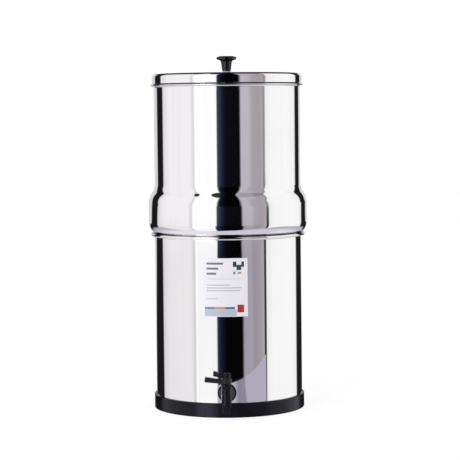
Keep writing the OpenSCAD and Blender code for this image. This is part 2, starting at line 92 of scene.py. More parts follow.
class Signal:
    """A shader socket that takes part in plain Python expressions."""

    def __init__(self, graph: "Graph", socket: bpy.types.NodeSocket) -> None:
        """Wrap a socket.

        Args:
            graph: The graph that the socket belongs to.
            socket: The output socket that carries the value.
        """
        self.graph = graph
        self.socket = socket

    def _math(self, operation: str, first: Any, second: Any = 0.0) -> "Signal":
        """Add a Math node.

        Args:
            operation: The node's operation.
            first: Its first value or signal.
            second: Its second value or signal.

        Returns:
            The node's result.
        """
        return self.graph.add("ShaderNodeMath", {"operation": operation}, {0: first, 1: second})

    def __add__(self, other: Any) -> "Signal":
        """self + other."""
        return self._math("ADD", self, other)

    def __radd__(self, other: Any) -> "Signal":
        """other + self."""
        return self._math("ADD", other, self)

    def __sub__(self, other: Any) -> "Signal":
        """self - other."""
        return self._math("SUBTRACT", self, other)

    def __rsub__(self, other: Any) -> "Signal":
        """other - self."""
        return self._math("SUBTRACT", other, self)

    def __mul__(self, other: Any) -> "Signal":
        """self * other."""
        return self._math("MULTIPLY", self, other)

    def __rmul__(self, other: Any) -> "Signal":
        """other * self."""
        return self._math("MULTIPLY", other, self)

    def __truediv__(self, other: Any) -> "Signal":
        """self / other."""
        return self._math("DIVIDE", self, other)

    def __pow__(self, other: Any) -> "Signal":
        """self ** other."""
        return self._math("POWER", self, other)

    def __neg__(self) -> "Signal":
        """-self."""
        return self._math("MULTIPLY", self, -1.0)

    def __abs__(self) -> "Signal":
        """abs(self)."""
        return self._math("ABSOLUTE", self)

    def least(self, other: Any) -> "Signal":
        """The smaller of self and other."""
        return self._math("MINIMUM", self, other)

    def most(self, other: Any) -> "Signal":
        """The larger of self and other."""
        return self._math("MAXIMUM", self, other)

    def bearing(self, ahead: Any) -> "Signal":
        """The angle whose opposite side is self and whose adjacent side is ahead, in radians."""
        return self._math("ARCTAN2", self, ahead)

    def cosine(self) -> "Signal":
        """The cosine of self, in radians."""
        return self._math("COSINE", self)

    def sine_angle(self) -> "Signal":
        """The angle whose sine is self, in radians."""
        return self._math("ARCSINE", self)

    def between(self, low: float, high: float) -> "Signal":
        """Ramp smoothly from 0 at low to 1 at high.

        Args:
            low: The value that gives 0.
            high: The value that gives 1, below low for a falling ramp.

        Returns:
            The ramped signal.
        """
        names = {"Value": self, "From Min": low, "From Max": high}
        if low > high:
            names = {"Value": self, "From Min": high, "From Max": low,
                     "To Min": 1.0, "To Max": 0.0}
        return self.graph.add("ShaderNodeMapRange", {"interpolation_type": "SMOOTHSTEP"}, names)

    def within(self, start: float, full: float, fading: float, end: float) -> "Signal":
        """Ramp from 0 at start to 1 at full, and from 1 at fading back to 0 at end."""
        return self.between(start, full) * self.between(end, fading)


class Graph:
    """A node tree that is built by plain calls."""

    def __init__(self, tree: bpy.types.NodeTree) -> None:
        """Take over a node tree and empty it.

        Args:
            tree: The node tree of a material or world.
        """
        self.tree = tree
        tree.nodes.clear()

    def node(self, kind: str, settings: dict[str, Any] | None = None,
             inputs: dict[Any, Any] | None = None) -> bpy.types.Node:
        """Add a node of any kind.

        Args:
            kind: The node's type.
            settings: Its properties; stops are the stops of a colour ramp.
            inputs: Values, signals or sockets by input name or number.

        Returns:
            The node.
        """
        made = self.tree.nodes.new(kind)
        for name, value in (settings or {}).items():
            if name == "stops":
                self._stops(made.color_ramp, value)
            else:
                setattr(made, name, value)
        for name, value in (inputs or {}).items():
            if isinstance(value, Signal):
                value = value.socket
            if isinstance(value, bpy.types.NodeSocket):
                self.tree.links.new(value, made.inputs[name])
            else:
                made.inputs[name].default_value = value
        return made

    @staticmethod
    def _stops(ramp: bpy.types.ColorRamp, stops: Iterable[tuple[float, Any]]) -> None:
        """Write the stops of a colour ramp.

        Args:
            ramp: The ramp to write.
            stops: Pairs of place and linear colour, in rising order.
        """
        for number, (place, colour) in enumerate(stops):
            while len(ramp.elements) <= number:
                ramp.elements.new(place)
            ramp.elements[number].position = place
            ramp.elements[number].color = (*colour[:3], 1.0)

    def add(self, kind: str, settings: dict[str, Any] | None = None,
            inputs: dict[Any, Any] | None = None, output: Any = 0) -> Signal:
        """Add a node and take one of its outputs.

        Args:
            kind: The node's type.
            settings: Its properties.
            inputs: Values, signals or sockets by input name or number.
            output: The name or number of the output.

        Returns:
            The output as a signal.
        """
        return Signal(self, self.node(kind, settings, inputs).outputs[output])

    def place(self) -> Signal:
        """Object coordinates of the piece itself."""
        return self.add("ShaderNodeTexCoord", output="Object")

    def axes(self, vector: Signal) -> list[Signal]:
        """Split a vector.

        Args:
            vector: The vector to split.

        Returns:
            Its X, Y and Z.
        """
        made = self.node("ShaderNodeSeparateXYZ", inputs={0: vector})
        return [Signal(self, made.outputs[number]) for number in range(3)]

    def stretched(self, vector: Signal, scale: Place) -> Signal:
        """Scale a vector along each axis.

        Args:
            vector: The vector to scale.
            scale: The factors of X, Y and Z.

        Returns:
            The scaled vector.
        """
        return self.add("ShaderNodeVectorMath", {"operation": "MULTIPLY"}, {0: vector, 1: scale})

    def noise(self, vector: Signal, scale: float, detail: float = 3.0,
              roughness: float = 0.55) -> Signal:
        """Add a noise pattern.

        Args:
            vector: The coordinates.
            scale: Cycles per metre.
            detail: Number of finer layers.
            roughness: Weight of the finer layers.

        Returns:
            The noise, about 0.5 on average.
        """
        values = {"Vector": vector, "Scale": scale, "Detail": detail, "Roughness": roughness}
        return self.add("ShaderNodeTexNoise", inputs=values)

    def mix(self, share: Any, first: Any, second: Any) -> Signal:
        """Mix two colours.

        Args:
            share: Weight of the second colour.
            first: The first colour, four numbers or a signal.
            second: The second colour.

        Returns:
            The mixed colour.
        """
        values = {0: share, 6: first, 7: second}
        return self.add("ShaderNodeMix", {"data_type": "RGBA"}, values, output=2)

    def ray(self, kind: str) -> Signal:
        """1 for rays of a kind, such as Is Camera Ray."""
        return self.add("ShaderNodeLightPath", output=kind)

    def shader(self, kind: str, colour: Any, **inputs: Any) -> Signal:
        """Add a shader node with a colour, such as an Emission."""
        return self.add(f"ShaderNode{kind}", inputs={"Color": colour, **inputs})

    def choice(self, share: Any, first: Signal, second: Signal) -> Signal:
        """Mix two shaders by the share of the second."""
        return self.add("ShaderNodeMixShader", inputs={0: share, 1: first, 2: second})

    def bump(self, height: Signal, distance: float, strength: float = 1.0) -> Signal:
        """Turn a height into a normal.

        Args:
            height: The height, from 0 to 1.
            distance: The depth of the relief in metres.
            strength: The share of the relief that is used.

        Returns:
            The normal.
        """
        values = {"Height": height, "Distance": distance, "Strength": strength}
        return self.add("ShaderNodeBump", inputs=values, output="Normal")


def scaled(colour: Colour, *factors: float) -> Colour:
    """Scale the channels of a colour.

    Args:
        colour: The colour.
        *factors: One factor for all channels, or one each.

    Returns:
        The scaled colour with an alpha of 1.
    """
    each = factors * 3 if len(factors) == 1 else factors
    return (*(value * factor for value, factor in zip(colour, each)), 1.0)


def tone(red: int, green: int, blue: int) -> Colour:
    """Turn screen values from 0 to 255 into a linear colour.

    Args:
        red: Red on screen.
        green: Green on screen.
        blue: Blue on screen.

    Returns:
        The linear colour with an alpha of 1.
    """
    def linear(value: int) -> float:
        """One channel, made linear."""
        share = value / 255
        return share / 12.92 if share <= 0.04045 else ((share + 0.055) / 1.055) ** 2.4

    return (linear(red), linear(green), linear(blue), 1.0)


# ---- Finishes --------------------------------------------------------------------------------


@dataclass(frozen=True)
class Finish:
    """A surface finish that becomes one material."""

    name: str
    slot: str
    colour: Colour
    roughness: float

    def material(self) -> bpy.types.Material:
        """Build the finish once and use it again after that.

        Returns:
            The material.
        """
        made = bpy.data.materials.get(self.name)
        if made is None:
            made = bpy.data.materials.new(self.name)
            made.use_nodes = True
            graph = Graph(made.node_tree)
            shader = graph.node("ShaderNodeBsdfPrincipled", inputs=self.sockets())
            graph.node("ShaderNodeOutputMaterial", inputs={"Surface": shader.outputs[0]})
            for name, signal in self.patterns(graph).items():
                graph.tree.links.new(signal.socket, shader.inputs[name])
        return made

    def sockets(self) -> dict[str, Any]:
        """The plain values of the shader."""
        return {"Base Color": self.colour, "Roughness": self.roughness}

    def patterns(self, graph: Graph) -> dict[str, Signal]:
        """The signals that vary over the surface.

        Args:
            graph: The material's graph.

        Returns:
            Signals by the name of the shader's input.
        """
        return {}


@dataclass(frozen=True)
class PolishedSteel(Finish):
    """Mirror-polished stainless sheet with faint polishing lines, hand marks and painted shade at
    the seam.
    """

    smudge: float = 0.02
    grain: float = 1.2e-7
    # Painted shade at the seam: heights over which it fades in, the bearings where light falls and
    # it is weaker, and its colour.
    seam_shade: Ramp | None = None
    lit_side: Span = (-48.0, -32.0, -12.0, -2.0)
    painted_shade: Colour = (0.04, 0.027, 0.03, 1.0)

    def sockets(self) -> dict[str, Any]:
        """The plain values of the shader."""
        return {**super().sockets(), "Metallic": 1.0}

    def patterns(self, graph: Graph) -> dict[str, Signal]:
        """Hand marks in the gloss, polishing lines and painted shade along the seam.

        Args:
            graph: The material's graph.

        Returns:
            Signals by the name of the shader's input.
        """
        place = graph.place()
        marks = graph.noise(place, 14.0, 4.0, 0.6).between(0.45, 0.72)
        lines = graph.noise(graph.stretched(place, (900.0, 900.0, 40.0)), 1.0, 2.0)
        streaks = graph.noise(graph.stretched(place, (340.0, 340.0, 2.5)), 1.0, 3.0)
        sheet = graph.mix(marks * 0.6, self.colour, scaled(self.colour, 0.965))
        sheet = graph.mix(streaks.between(0.5, 0.78), sheet, scaled(self.colour, 0.93))
        # Painted shade: a dark band in the crevice where the chambers meet, weaker on the side
        # where light falls.
        if self.seam_shade is not None:
            x, y, z = graph.axes(place)
            unshaded_z, shaded_z = (height * MM for height in self.seam_shade)
            turn = x.bearing(-y) * DEGREES
            lit_side = turn.within(*self.lit_side)
            painted_shade = z.between(unshaded_z, shaded_z) * (0.74 + marks * 0.1 - lit_side * 0.45)
            sheet = graph.mix(painted_shade, sheet, self.painted_shade)
        return {
            "Base Color": sheet,
            "Roughness": self.roughness + marks * self.smudge,
            "Normal": graph.bump(lines, self.grain),
        }


@dataclass(frozen=True)
class PlainSteel(Finish):
    """Rolled or turned stainless steel with fine lines, for small hardware."""

    def sockets(self) -> dict[str, Any]:
        """The plain values of the shader."""
        return {**super().sockets(), "Metallic": 1.0}

    def patterns(self, graph: Graph) -> dict[str, Signal]:
        """Turning lines in the gloss and in the relief.

        Args:
            graph: The material's graph.

        Returns:
            Signals by the name of the shader's input.
        """
        place = graph.place()
        lines = graph.noise(graph.stretched(place, (300.0, 300.0, 5200.0)), 1.0, 3.0)
        return {
            "Roughness": self.roughness + (lines - 0.5) * 0.14,
            "Normal": graph.bump(lines, 6e-6),
        }


@dataclass(frozen=True)
class Moulded(Finish):
    """Moulded plastic or rubber with a fine skin, faint flow marks and rubbed spots."""

    specular: float = 0.5
    tint: Colour = (1.0, 1.0, 1.0, 1.0)
    grain_scale: float = 2600.0
    grain_depth: float = 1.2e-5
    wear: float = 0.08
    scatter: float = 0.0
    lift: float = 0.006

    def sockets(self) -> dict[str, Any]:
        """The plain values of the shader.

        Returns:
            Values by the name of the shader's input.
        """
        return {
            **super().sockets(),
            "Specular IOR Level": self.specular,
            "Specular Tint": self.tint,
            "Subsurface Weight": self.scatter,
            "Subsurface Radius": (0.004, 0.003, 0.002),
            "Subsurface Scale": 1.0,
        }

    def patterns(self, graph: Graph) -> dict[str, Signal]:
        """Skin texture, flow marks and rubbed spots.

        Args:
            graph: The material's graph.

        Returns:
            Signals by the name of the shader's input.
        """
        place = graph.place()
        skin = graph.noise(place, self.grain_scale, 3.0, 0.6)
        flow = graph.noise(graph.stretched(place, (1.0, 1.0, 0.35)), 90.0, 3.0)
        rubbed = flow.between(0.52, 0.75)
        lighter = (*(min(1.0, value * 1.12 + self.lift) for value in self.colour[:3]), 1.0)
        return {
            "Base Color": graph.mix(rubbed * 0.7 + skin * 0.2, self.colour, lighter),
            "Roughness": self.roughness + rubbed * self.wear - (skin - 0.5) * 0.06,
            "Normal": graph.bump(skin, self.grain_depth),
        }


@dataclass(frozen=True)
class TapMoulding(Moulded):
    """The tap's black plastic, with a duller flange face that has a painted highlight."""

    face: float = -0.1175
    edge: float = 0.0008
    # The colour of the painted highlight on the flange face.
    pale: Colour = (0.1, 0.093, 0.11, 1.0)

    def patterns(self, graph: Graph) -> dict[str, Signal]:
        """The moulding's patterns, with a painted highlight on the flange face behind the barrel.

        Args:
            graph: The material's graph.

        Returns:
            Signals by the name of the shader's input.
        """
        made = super().patterns(graph)
        _, y, _ = graph.axes(graph.place())
        # Painted highlight: the flange face behind the barrel gets a paler colour in place of its
        # sheen.
        behind = y.between(self.face - self.edge, self.face)
        made["Base Color"] = graph.mix(behind * 0.8, made["Base Color"], self.pale)
        made["Roughness"] = made["Roughness"] + behind * 0.15
        return made


@dataclass(frozen=True)
class Ceramic(Finish):
    """Unglazed filter ceramic: chalky, with fine pores and a warm mottle."""

    def patterns(self, graph: Graph) -> dict[str, Signal]:
        """Pores, a slow mottle and a dusty relief.

        Args:
            graph: The material's graph.

        Returns:
            Signals by the name of the shader's input.
        """
        place = graph.place()
        pores = graph.noise(place, 1500.0, 5.0, 0.7)
        mottle = graph.noise(place, 45.0, 4.0, 0.6).between(0.35, 0.7)
        warm = scaled(self.colour, 0.94, 0.9, 0.83)
        return {
            "Base Color": graph.mix(mottle * 0.6 + (pores - 0.5) * 0.4, self.colour, warm),
            "Roughness": self.roughness + (pores - 0.5) * 0.15,
            "Normal": graph.bump(pores, 4e-5, 0.7),
        }


@dataclass(frozen=True)
class PressedCarbon(Finish):
    """Pressed carbon: matt, grainy and nearly black."""

    def patterns(self, graph: Graph) -> dict[str, Signal]:
        """Coarse grains.

        Args:
            graph: The material's graph.

        Returns:
            Signals by the name of the shader's input.
        """
        grains = graph.noise(graph.place(), 900.0, 5.0, 0.75)
        lighter = scaled(self.colour, 2.4)
        return {
            "Base Color": graph.mix(grains.between(0.45, 0.75), self.colour, lighter),
            "Roughness": self.roughness + (grains - 0.5) * 0.2,
            "Normal": graph.bump(grains, 1.2e-4, 0.8),
        }


@dataclass(frozen=True)
class Block:
    """A rounded block of plain print on the label, in millimetres from its lower left corner."""

    left: float
    bottom: float
    width: float
    height: float
    colour: Colour


@dataclass(frozen=True)
class LabelFilm(Finish):
    """Smooth pale film with a plain layout of bars, a block mark and a colour strip."""

    radius: float = 108.3
    width: float = 62.0
    low: float = 144.9
    blur: float = 0.12
    blocks: tuple[Block, ...] = ()

    def printed(self, graph: Graph, across: Signal, up: Signal, field: Signal) -> Signal:
        """Lay the blocks over the film.

        Args:
            graph: The material's graph.
            across: Millimetres from the label's left edge.
            up: Millimetres from its lower edge.
            field: The film's own colour.

        Returns:
            The printed colour.
        """
        colour = field
        for block in self.blocks:
            x = abs(across - (block.left + block.width / 2)) - block.width / 2
            y = abs(up - (block.bottom + block.height / 2)) - block.height / 2
            colour = graph.mix(x.most(y).between(self.blur, -self.blur), colour, block.colour)
        return colour

    def patterns(self, graph: Graph) -> dict[str, Signal]:
        """The printed layout, a faint sheen and the film's orange peel.

        Args:
            graph: The material's graph.

        Returns:
            Signals by the name of the shader's input.
        """
        place = graph.place()
        x, y, z = graph.axes(place)
        across = x.bearing(-y) * self.radius + self.width / 2
        up = z * (1 / MM) - self.low
        cloud = graph.noise(place, 120.0, 3.0)
        film = graph.mix(cloud, self.colour, scaled(self.colour, 0.97))
        return {
            "Base Color": self.printed(graph, across, up, film),
            "Roughness": self.roughness + (cloud - 0.5) * 0.08,
            "Normal": graph.bump(graph.noise(place, 700.0, 2.0), 2e-6),
        }


PRINT_GREY = tone(126, 124, 134)
LABEL_BLOCKS = (
    Block(3.0, 74.4, 24.0, 3.0, PRINT_GREY),
    Block(3.0, 67.2, 17.0, 3.0, PRINT_GREY),
    Block(3.0, 60.0, 14.0, 3.0, PRINT_GREY),
    Block(41.0, 71.0, 5.0, 7.5, tone(48, 70, 84)),
    Block(46.0, 66.5, 7.0, 7.5, tone(58, 84, 84)),
    Block(53.0, 71.0, 4.0, 7.5, tone(48, 70, 84)),
    Block(41.5, 60.5, 3.0, 4.0, tone(74, 140, 186)),
    Block(47.5, 61.0, 5.5, 2.6, tone(204, 142, 92)),
    Block(3.0, 53.6, 50.0, 0.7, tone(196, 194, 206)),
    Block(3.0, 44.6, 34.0, 1.1, tone(178, 176, 188)),
    Block(3.0, 40.6, 50.0, 1.1, tone(170, 168, 180)),
    Block(3.0, 36.6, 48.0, 1.1, tone(178, 176, 188)),
    Block(3.0, 25.2, 16.0, 1.0, tone(192, 190, 202)),
    Block(0.0, 0.8, 46.0, 9.4, tone(196, 202, 220)),
    Block(0.0, 10.6, 14.5, 3.4, tone(92, 150, 152)),
    Block(14.5, 10.6, 15.0, 3.4, tone(206, 160, 112)),
    Block(29.5, 10.6, 14.0, 3.4, tone(96, 122, 178)),
    Block(47.0, 6.0, 9.6, 11.0, tone(186, 52, 52)),
)

STEEL = PolishedSteel("steel_mirror", "polished_steel", (0.93, 0.925, 0.935, 1.0), 0.02)
# The two chamber materials carry painted shade along the seam where the chambers meet.
LOWER_STEEL = PolishedSteel("steel_mirror_lower_seam_shade", "polished_steel", STEEL.colour, 0.02,
                            seam_shade=(258.0, 258.6))
UPPER_STEEL = PolishedSteel("steel_mirror_upper_seam_shade", "polished_steel", STEEL.colour, 0.02,
                            seam_shade=(259.7, 259.1))
RING_RUBBER = Moulded("ring_rubber", "black_rubber", (0.0035, 0.0033, 0.005, 1.0), 0.22,
                      specular=0.26, tint=(0.78, 0.76, 1.0, 1.0), grain_scale=1800.0,
                      grain_depth=8e-6, lift=0.001)
GASKET_RUBBER = Moulded("gasket_black", "gasket_rubber", (0.003, 0.003, 0.0035, 1.0), 0.45,
                        specular=0.2, lift=0.001)
TAP_PLASTIC = TapMoulding("tap_black", "tap_plastic", (0.005, 0.0048, 0.0068, 1.0), 0.2,
                          specular=0.22, tint=(0.88, 0.84, 1.0, 1.0), grain_depth=6e-6,
                          lift=0.0015)
KEY_PLASTIC = Moulded("tap_key_satin", "tap_plastic", (0.021, 0.019, 0.025, 1.0), 0.24,
                      specular=0.22, tint=(0.88, 0.84, 1.0, 1.0), grain_depth=6e-6)
KNOB_PLASTIC = Moulded("knob_gloss_black", "knob_plastic", (0.0025, 0.0025, 0.0035, 1.0), 0.12,
                       specular=0.45, grain_depth=2e-6, wear=0.04, lift=0.0006)
SPACER_GREY = Moulded("spacer_grey_nylon", "spacer_grey", tone(176, 172, 178), 0.45)
HARDWARE = PlainSteel("steel_turned", "plain_steel", (0.56, 0.56, 0.57, 1.0), 0.3)
CERAMIC = Ceramic("ceramic_unglazed", "ceramic", (0.84, 0.81, 0.745, 1.0), 0.85)
CARBON = PressedCarbon("carbon_pressed", "carbon", (0.02, 0.02, 0.022, 1.0), 0.8)
MOUNT_PLASTIC = Moulded("mount_white", "mount_plastic", (0.78, 0.78, 0.76, 1.0), 0.4,
                        scatter=0.04)
PLUG_PLASTIC = Moulded("plug_dark_grey", "plug_plastic", (0.04, 0.04, 0.044, 1.0), 0.45)
SILICONE = Moulded("silicone_grey", "silicone", (0.56, 0.55, 0.53, 1.0), 0.5, scatter=0.08)
LABEL = LabelFilm("label_film", "label", tone(249, 246, 254), 0.32, blocks=LABEL_BLOCKS)


# ---- Profiles --------------------------------------------------------------------------------


def arc(x: float, z: float, radius: float, start: float, end: float, step: float = 5.0) -> Path:
    """Points on an arc.

    Args:
        x: Centre, from the axis.
        z: Centre, along the axis.
        radius: Radius.
        start: First angle in degrees.
        end: Last angle in degrees.
        step: Largest angle between two points.

    Returns:
        The points, both ends among them.
    """
    count = max(2, math.ceil(abs(end - start) / step))
    angles = (math.radians(start + (end - start) * i / count) for i in range(count + 1))
    return [(x + radius * math.cos(a), z + radius * math.sin(a)) for a in angles]


def lower_corner(x: float, z: float, radius: float, step: float = 30.0) -> Path:
    """A rounded corner from the face at height z up to the wall at distance x."""
    return arc(x - radius, z + radius, radius, -90, 0, step)


def upper_corner(x: float, z: float, radius: float, step: float = 30.0) -> Path:
    """A rounded corner from the wall at distance x up to the face at height z."""
    return arc(x - radius, z - radius, radius, 0, 90, step)


def distinct(path: Path) -> Path:
    """Leave out points that lie on the one before.

    Args:
        path: The path.

    Returns:
        The path without them.
    """
    kept = [path[0]]
    kept += [b for a, b in zip(path, path[1:]) if math.dist(a, b) > 0.01]
    return kept


def eased(path: Path, reach: float = 0.6, least: float = 4.0) -> Path:
    """Add a point near both ends of every long run, so that its shading stays straight.

    Args:
        path: The path.
        reach: Distance of the added points from the ends.
        least: Shortest run that gets them.

    Returns:
        The path with the added points.
    """
    made = [path[0]]
    for a, b in zip(path, path[1:]):
        run = math.dist(a, b)
        if run > least:
            for share in (reach / run, 1 - reach / run):
                made.append((a[0] + (b[0] - a[0]) * share, a[1] + (b[1] - a[1]) * share))
        made.append(b)
    return made


def offset_left(path: Path, distance: float) -> Path:
    """The path moved to its left, with mitred corners.

    Args:
        path: The path.
        distance: How far it moves.

    Returns:
        The moved path.
    """
    directions = [Vector(b) - Vector(a) for a, b in zip(path, path[1:])]
    lefts = [Vector((-d.y, d.x)).normalized() for d in directions]
    made = []
    for number, point in enumerate(path):
        before = lefts[max(number - 1, 0)]
        after = lefts[min(number, len(lefts) - 1)]
        mitre = (before + after).normalized()
        moved = Vector(point) + mitre * distance / mitre.dot(before)
        made.append((moved.x, moved.y))
    return made


def sheet_profile(path: Path, thickness: float) -> Path:
    """A closed profile of sheet with its outer face on the path.

    Args:
        path: The outer face, from the axis outwards.
        thickness: The sheet's thickness, to the left of the path.

    Returns:
        The closed profile.
    """
    outer = eased(distinct(path))
    inner = offset_left(outer, thickness)
    return outer + inner[::-1]


# ---- Modelling -------------------------------------------------------------------------------


def deselect() -> None:
    """Leave nothing selected."""
    bpy.ops.object.select_all(action="DESELECT")


def activate(piece: bpy.types.Object) -> None:
    """Select one piece only and make it the active one.

    Args:
        piece: The piece.
    """
    deselect()
    piece.select_set(True)
    bpy.context.view_layer.objects.active = piece


def settle(piece: bpy.types.Object) -> None:
    """Move a piece's place into its mesh."""
    activate(piece)
    bpy.ops.object.transform_apply(location=True, rotation=True, scale=True)


def placed(piece: bpy.types.Object, pivot: Place, turn: Turn) -> None:
    """Turn an upright piece along its axis and move it there.

    Args:
        piece: The piece, modelled upright at the origin.
        pivot: Where its origin goes.
        turn: The direction of its axis.
    """
    if turn is Turn.LEVEL:
        piece.rotation_euler = (-math.pi / 2, 0.0, 0.0)
    piece.location = Vector(pivot) * MM
    settle(piece)


@contextmanager
def editing(piece: bpy.types.Object) -> Iterator[None]:
    """Put one piece in edit mode and take it out again.

    Args:
        piece: The piece.

    Yields:
        Nothing; the block runs in edit mode.
    """
    activate(piece)
    bpy.ops.object.mode_set(mode="EDIT")
    yield
    bpy.ops.object.mode_set(mode="OBJECT")


def clean_mesh() -> None:
    """Merge what lies together and turn the faces outwards, in edit mode."""
    bpy.ops.mesh.select_all(action="SELECT")
    bpy.ops.mesh.remove_doubles(threshold=MERGE)
    bpy.ops.mesh.normals_make_consistent(inside=False)


def close_ends() -> None:
    """Fill the open ends of a mesh, in edit mode."""
    bpy.ops.mesh.select_mode(type="EDGE")
    bpy.ops.mesh.select_all(action="DESELECT")
    bpy.ops.mesh.select_non_manifold()
    bpy.ops.mesh.fill_holes(sides=0)
    clean_mesh()
    bpy.ops.mesh.select_mode(type="VERT")


def trace(name: str, points: list[Vector]) -> bpy.types.Object:
    """Reduce a plane to one vertex and extrude it from point to point.

    Args:
        name: The piece's name.
        points: The points in millimetres.

    Returns:
        The piece, still in edit mode.
    """
    deselect()
    bpy.ops.mesh.primitive_plane_add(size=MM, location=points[0] * MM)
    piece = bpy.context.active_object
    piece.name = name
    settle(piece)
    bpy.ops.object.mode_set(mode="EDIT")
    bpy.ops.mesh.select_mode(type="VERT")
    bpy.ops.mesh.select_all(action="SELECT")
    bpy.ops.mesh.merge(type="CENTER")
    for a, b in zip(points, points[1:]):
        bpy.ops.mesh.extrude_region_move(TRANSFORM_OT_translate={"value": (b - a) * MM})
    bpy.ops.mesh.select_all(action="SELECT")
    bpy.ops.mesh.remove_doubles(threshold=MERGE)
    return piece


def spun(name: str, profile: Path, steps: int = 160, pivot: Place = (0.0, 0.0, 0.0),
         turn: Turn = Turn.UPRIGHT, start: float = 0.0, sweep: float = 360.0,
         closed: bool = True) -> bpy.types.Object:
    """Draw a profile by extruding a vertex and spin it round an axis.

    Args:
        name: The piece's name.
        profile: Points as distance from the axis and height along it.
        steps: Number of steps round the axis.
        pivot: A point on the axis.
        turn: The direction of the axis.
        start: Angle of the profile round the upright axis, in degrees from +X.
        sweep: Angle of the spin in degrees.
        closed: Whether the profile comes back to its first point.

    Returns:
        The piece, with its place in its mesh.
    """
    def at(point: Point) -> Vector:
        """A profile's point in space.

        Args:
            point: The point as distance from the axis and height along it.

        Returns:
            The point in millimetres.
        """
        if turn is Turn.LEVEL:
            return Vector((pivot[0], pivot[1] + point[1], pivot[2] + point[0]))
        angle = math.radians(start)
        reach = Vector((math.cos(angle), math.sin(angle), 0.0)) * point[0]
        return reach + Vector((pivot[0], pivot[1], pivot[2] + point[1]))

    piece = trace(name, [at(p) for p in (profile + profile[:1] if closed else profile)])
    bpy.ops.mesh.select_all(action="SELECT")
    bpy.ops.mesh.spin(steps=steps, angle=-math.radians(sweep), center=Vector(pivot) * MM,
                      axis=turn.value)
    clean_mesh()
    if closed and sweep < 360:
        close_ends()
    bpy.ops.object.mode_set(mode="OBJECT")
    return piece


def slab(name: str, outline: Path, thickness: float, pivot: Place) -> bpy.types.Object:
    """Draw an outline in the XZ plane and extrude it to the same depth on both sides.

    Args:
        name: The piece's name.
        outline: Points of the outline.
        thickness: The slab's thickness along Y.
        pivot: The outline's origin.

    Returns:
        The slab.
    """
    points = [Vector(pivot) + Vector((x, -thickness / 2, z)) for x, z in outline + outline[:1]]
    piece = trace(name, points)
    bpy.ops.mesh.select_all(action="SELECT")
    bpy.ops.mesh.edge_face_add()
    bpy.ops.mesh.extrude_region_move(TRANSFORM_OT_translate={"value": (0, thickness * MM, 0)})
    clean_mesh()
    bpy.ops.object.mode_set(mode="OBJECT")
    return piece


def shape(piece: bpy.types.Object, kind: str, **settings: Any) -> None:
    """Add a modifier and apply it.

    Args:
        piece: The piece to shape.
        kind: The modifier's type.
        **settings: The modifier's properties.
    """
    activate(piece)
    modifier = piece.modifiers.new(kind.title(), kind)
    for name, value in settings.items():
        setattr(modifier, name, value)
    bpy.ops.object.modifier_apply(modifier=modifier.name)


def combine(piece: bpy.types.Object, tool: bpy.types.Object, join: Join) -> None:
    """Cut or fuse a piece with a tool and remove the tool.

    Args:
        piece: The piece to change.
        tool: The other solid.
        join: What the tool does to the piece.
    """
    shape(piece, "BOOLEAN", object=tool, operation=join.value, solver="EXACT")
    bpy.data.objects.remove(tool)


def rod(name: str, radius: float, low: float, high: float, pivot: Place,
        turn: Turn = Turn.UPRIGHT, steps: int = 48) -> bpy.types.Object:
    """A plain solid rod, for cutting.

    Args:
        name: The rod's name.
        radius: Its radius.
        low: Its lower end along the axis.
        high: Its upper end.
        pivot: A point on the axis.
        turn: The direction of the axis.
        steps: Number of sides.

    Returns:
        The rod.
    """
    outline = [(0.0, low), (radius, low), (radius, high), (0.0, high)]
    return spun(name, outline, steps, pivot, turn, closed=False)


def copied(piece: bpy.types.Object, name: str, shift: Place) -> bpy.types.Object:
    """A copy with its own mesh.

    Args:
        piece: The piece to copy.
        name: The copy's name.
        shift: The way from the piece to the copy.

    Returns:
        The copy, with its place in its mesh.
    """
    twin = bpy.data.objects.new(name, piece.data.copy())
    bpy.context.scene.collection.objects.link(twin)
    twin.location = Vector(shift) * MM
    settle(twin)
    return twin


def soften(piece: bpy.types.Object, width: float, segments: int = 2,
           along: Vector | None = None, sharper: float = 30.0) -> None:
    """Bevel the sharp edges of a piece.

    Args:
        piece: The piece.
        width: Width of the bevel.
        segments: Faces across it.
        along: Take only the edges along this direction.
        sharper: Take only edges with a larger angle, in degrees.
    """
    with editing(piece):
        bpy.ops.mesh.select_mode(type="EDGE")
        bpy.ops.mesh.select_all(action="DESELECT")
        mesh = bmesh.from_edit_mesh(piece.data)
        for edge in mesh.edges:
            run = (edge.verts[1].co - edge.verts[0].co).normalized()
            bent = edge.calc_face_angle(0.0) > math.radians(sharper)
            edge.select_set(bent and (along is None or abs(run.dot(along)) > 0.99))
        bmesh.update_edit_mesh(piece.data)
        bpy.ops.mesh.bevel(offset=width * MM, segments=segments, affect="EDGES",
                           clamp_overlap=True)
        bpy.ops.mesh.select_mode(type="VERT")


def refined(node: str, width: float) -> bpy.types.Object:
    """A merged copy of a CAD node with softened edges.

    Args:
        node: The CAD node's name.
        width: Width of the bevel.

    Returns:
        The copy.
    """
    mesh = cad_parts[node].data.copy()
    piece = bpy.data.objects.new(f"{node}_piece", mesh)
    bpy.context.scene.collection.objects.link(piece)
    with editing(piece):
        clean_mesh()
        bpy.ops.mesh.dissolve_limited(angle_limit=math.radians(1.0))
    shape(piece, "BEVEL", width=width * MM, segments=2, limit_method="ANGLE",
          angle_limit=math.radians(40.0))
    return piece


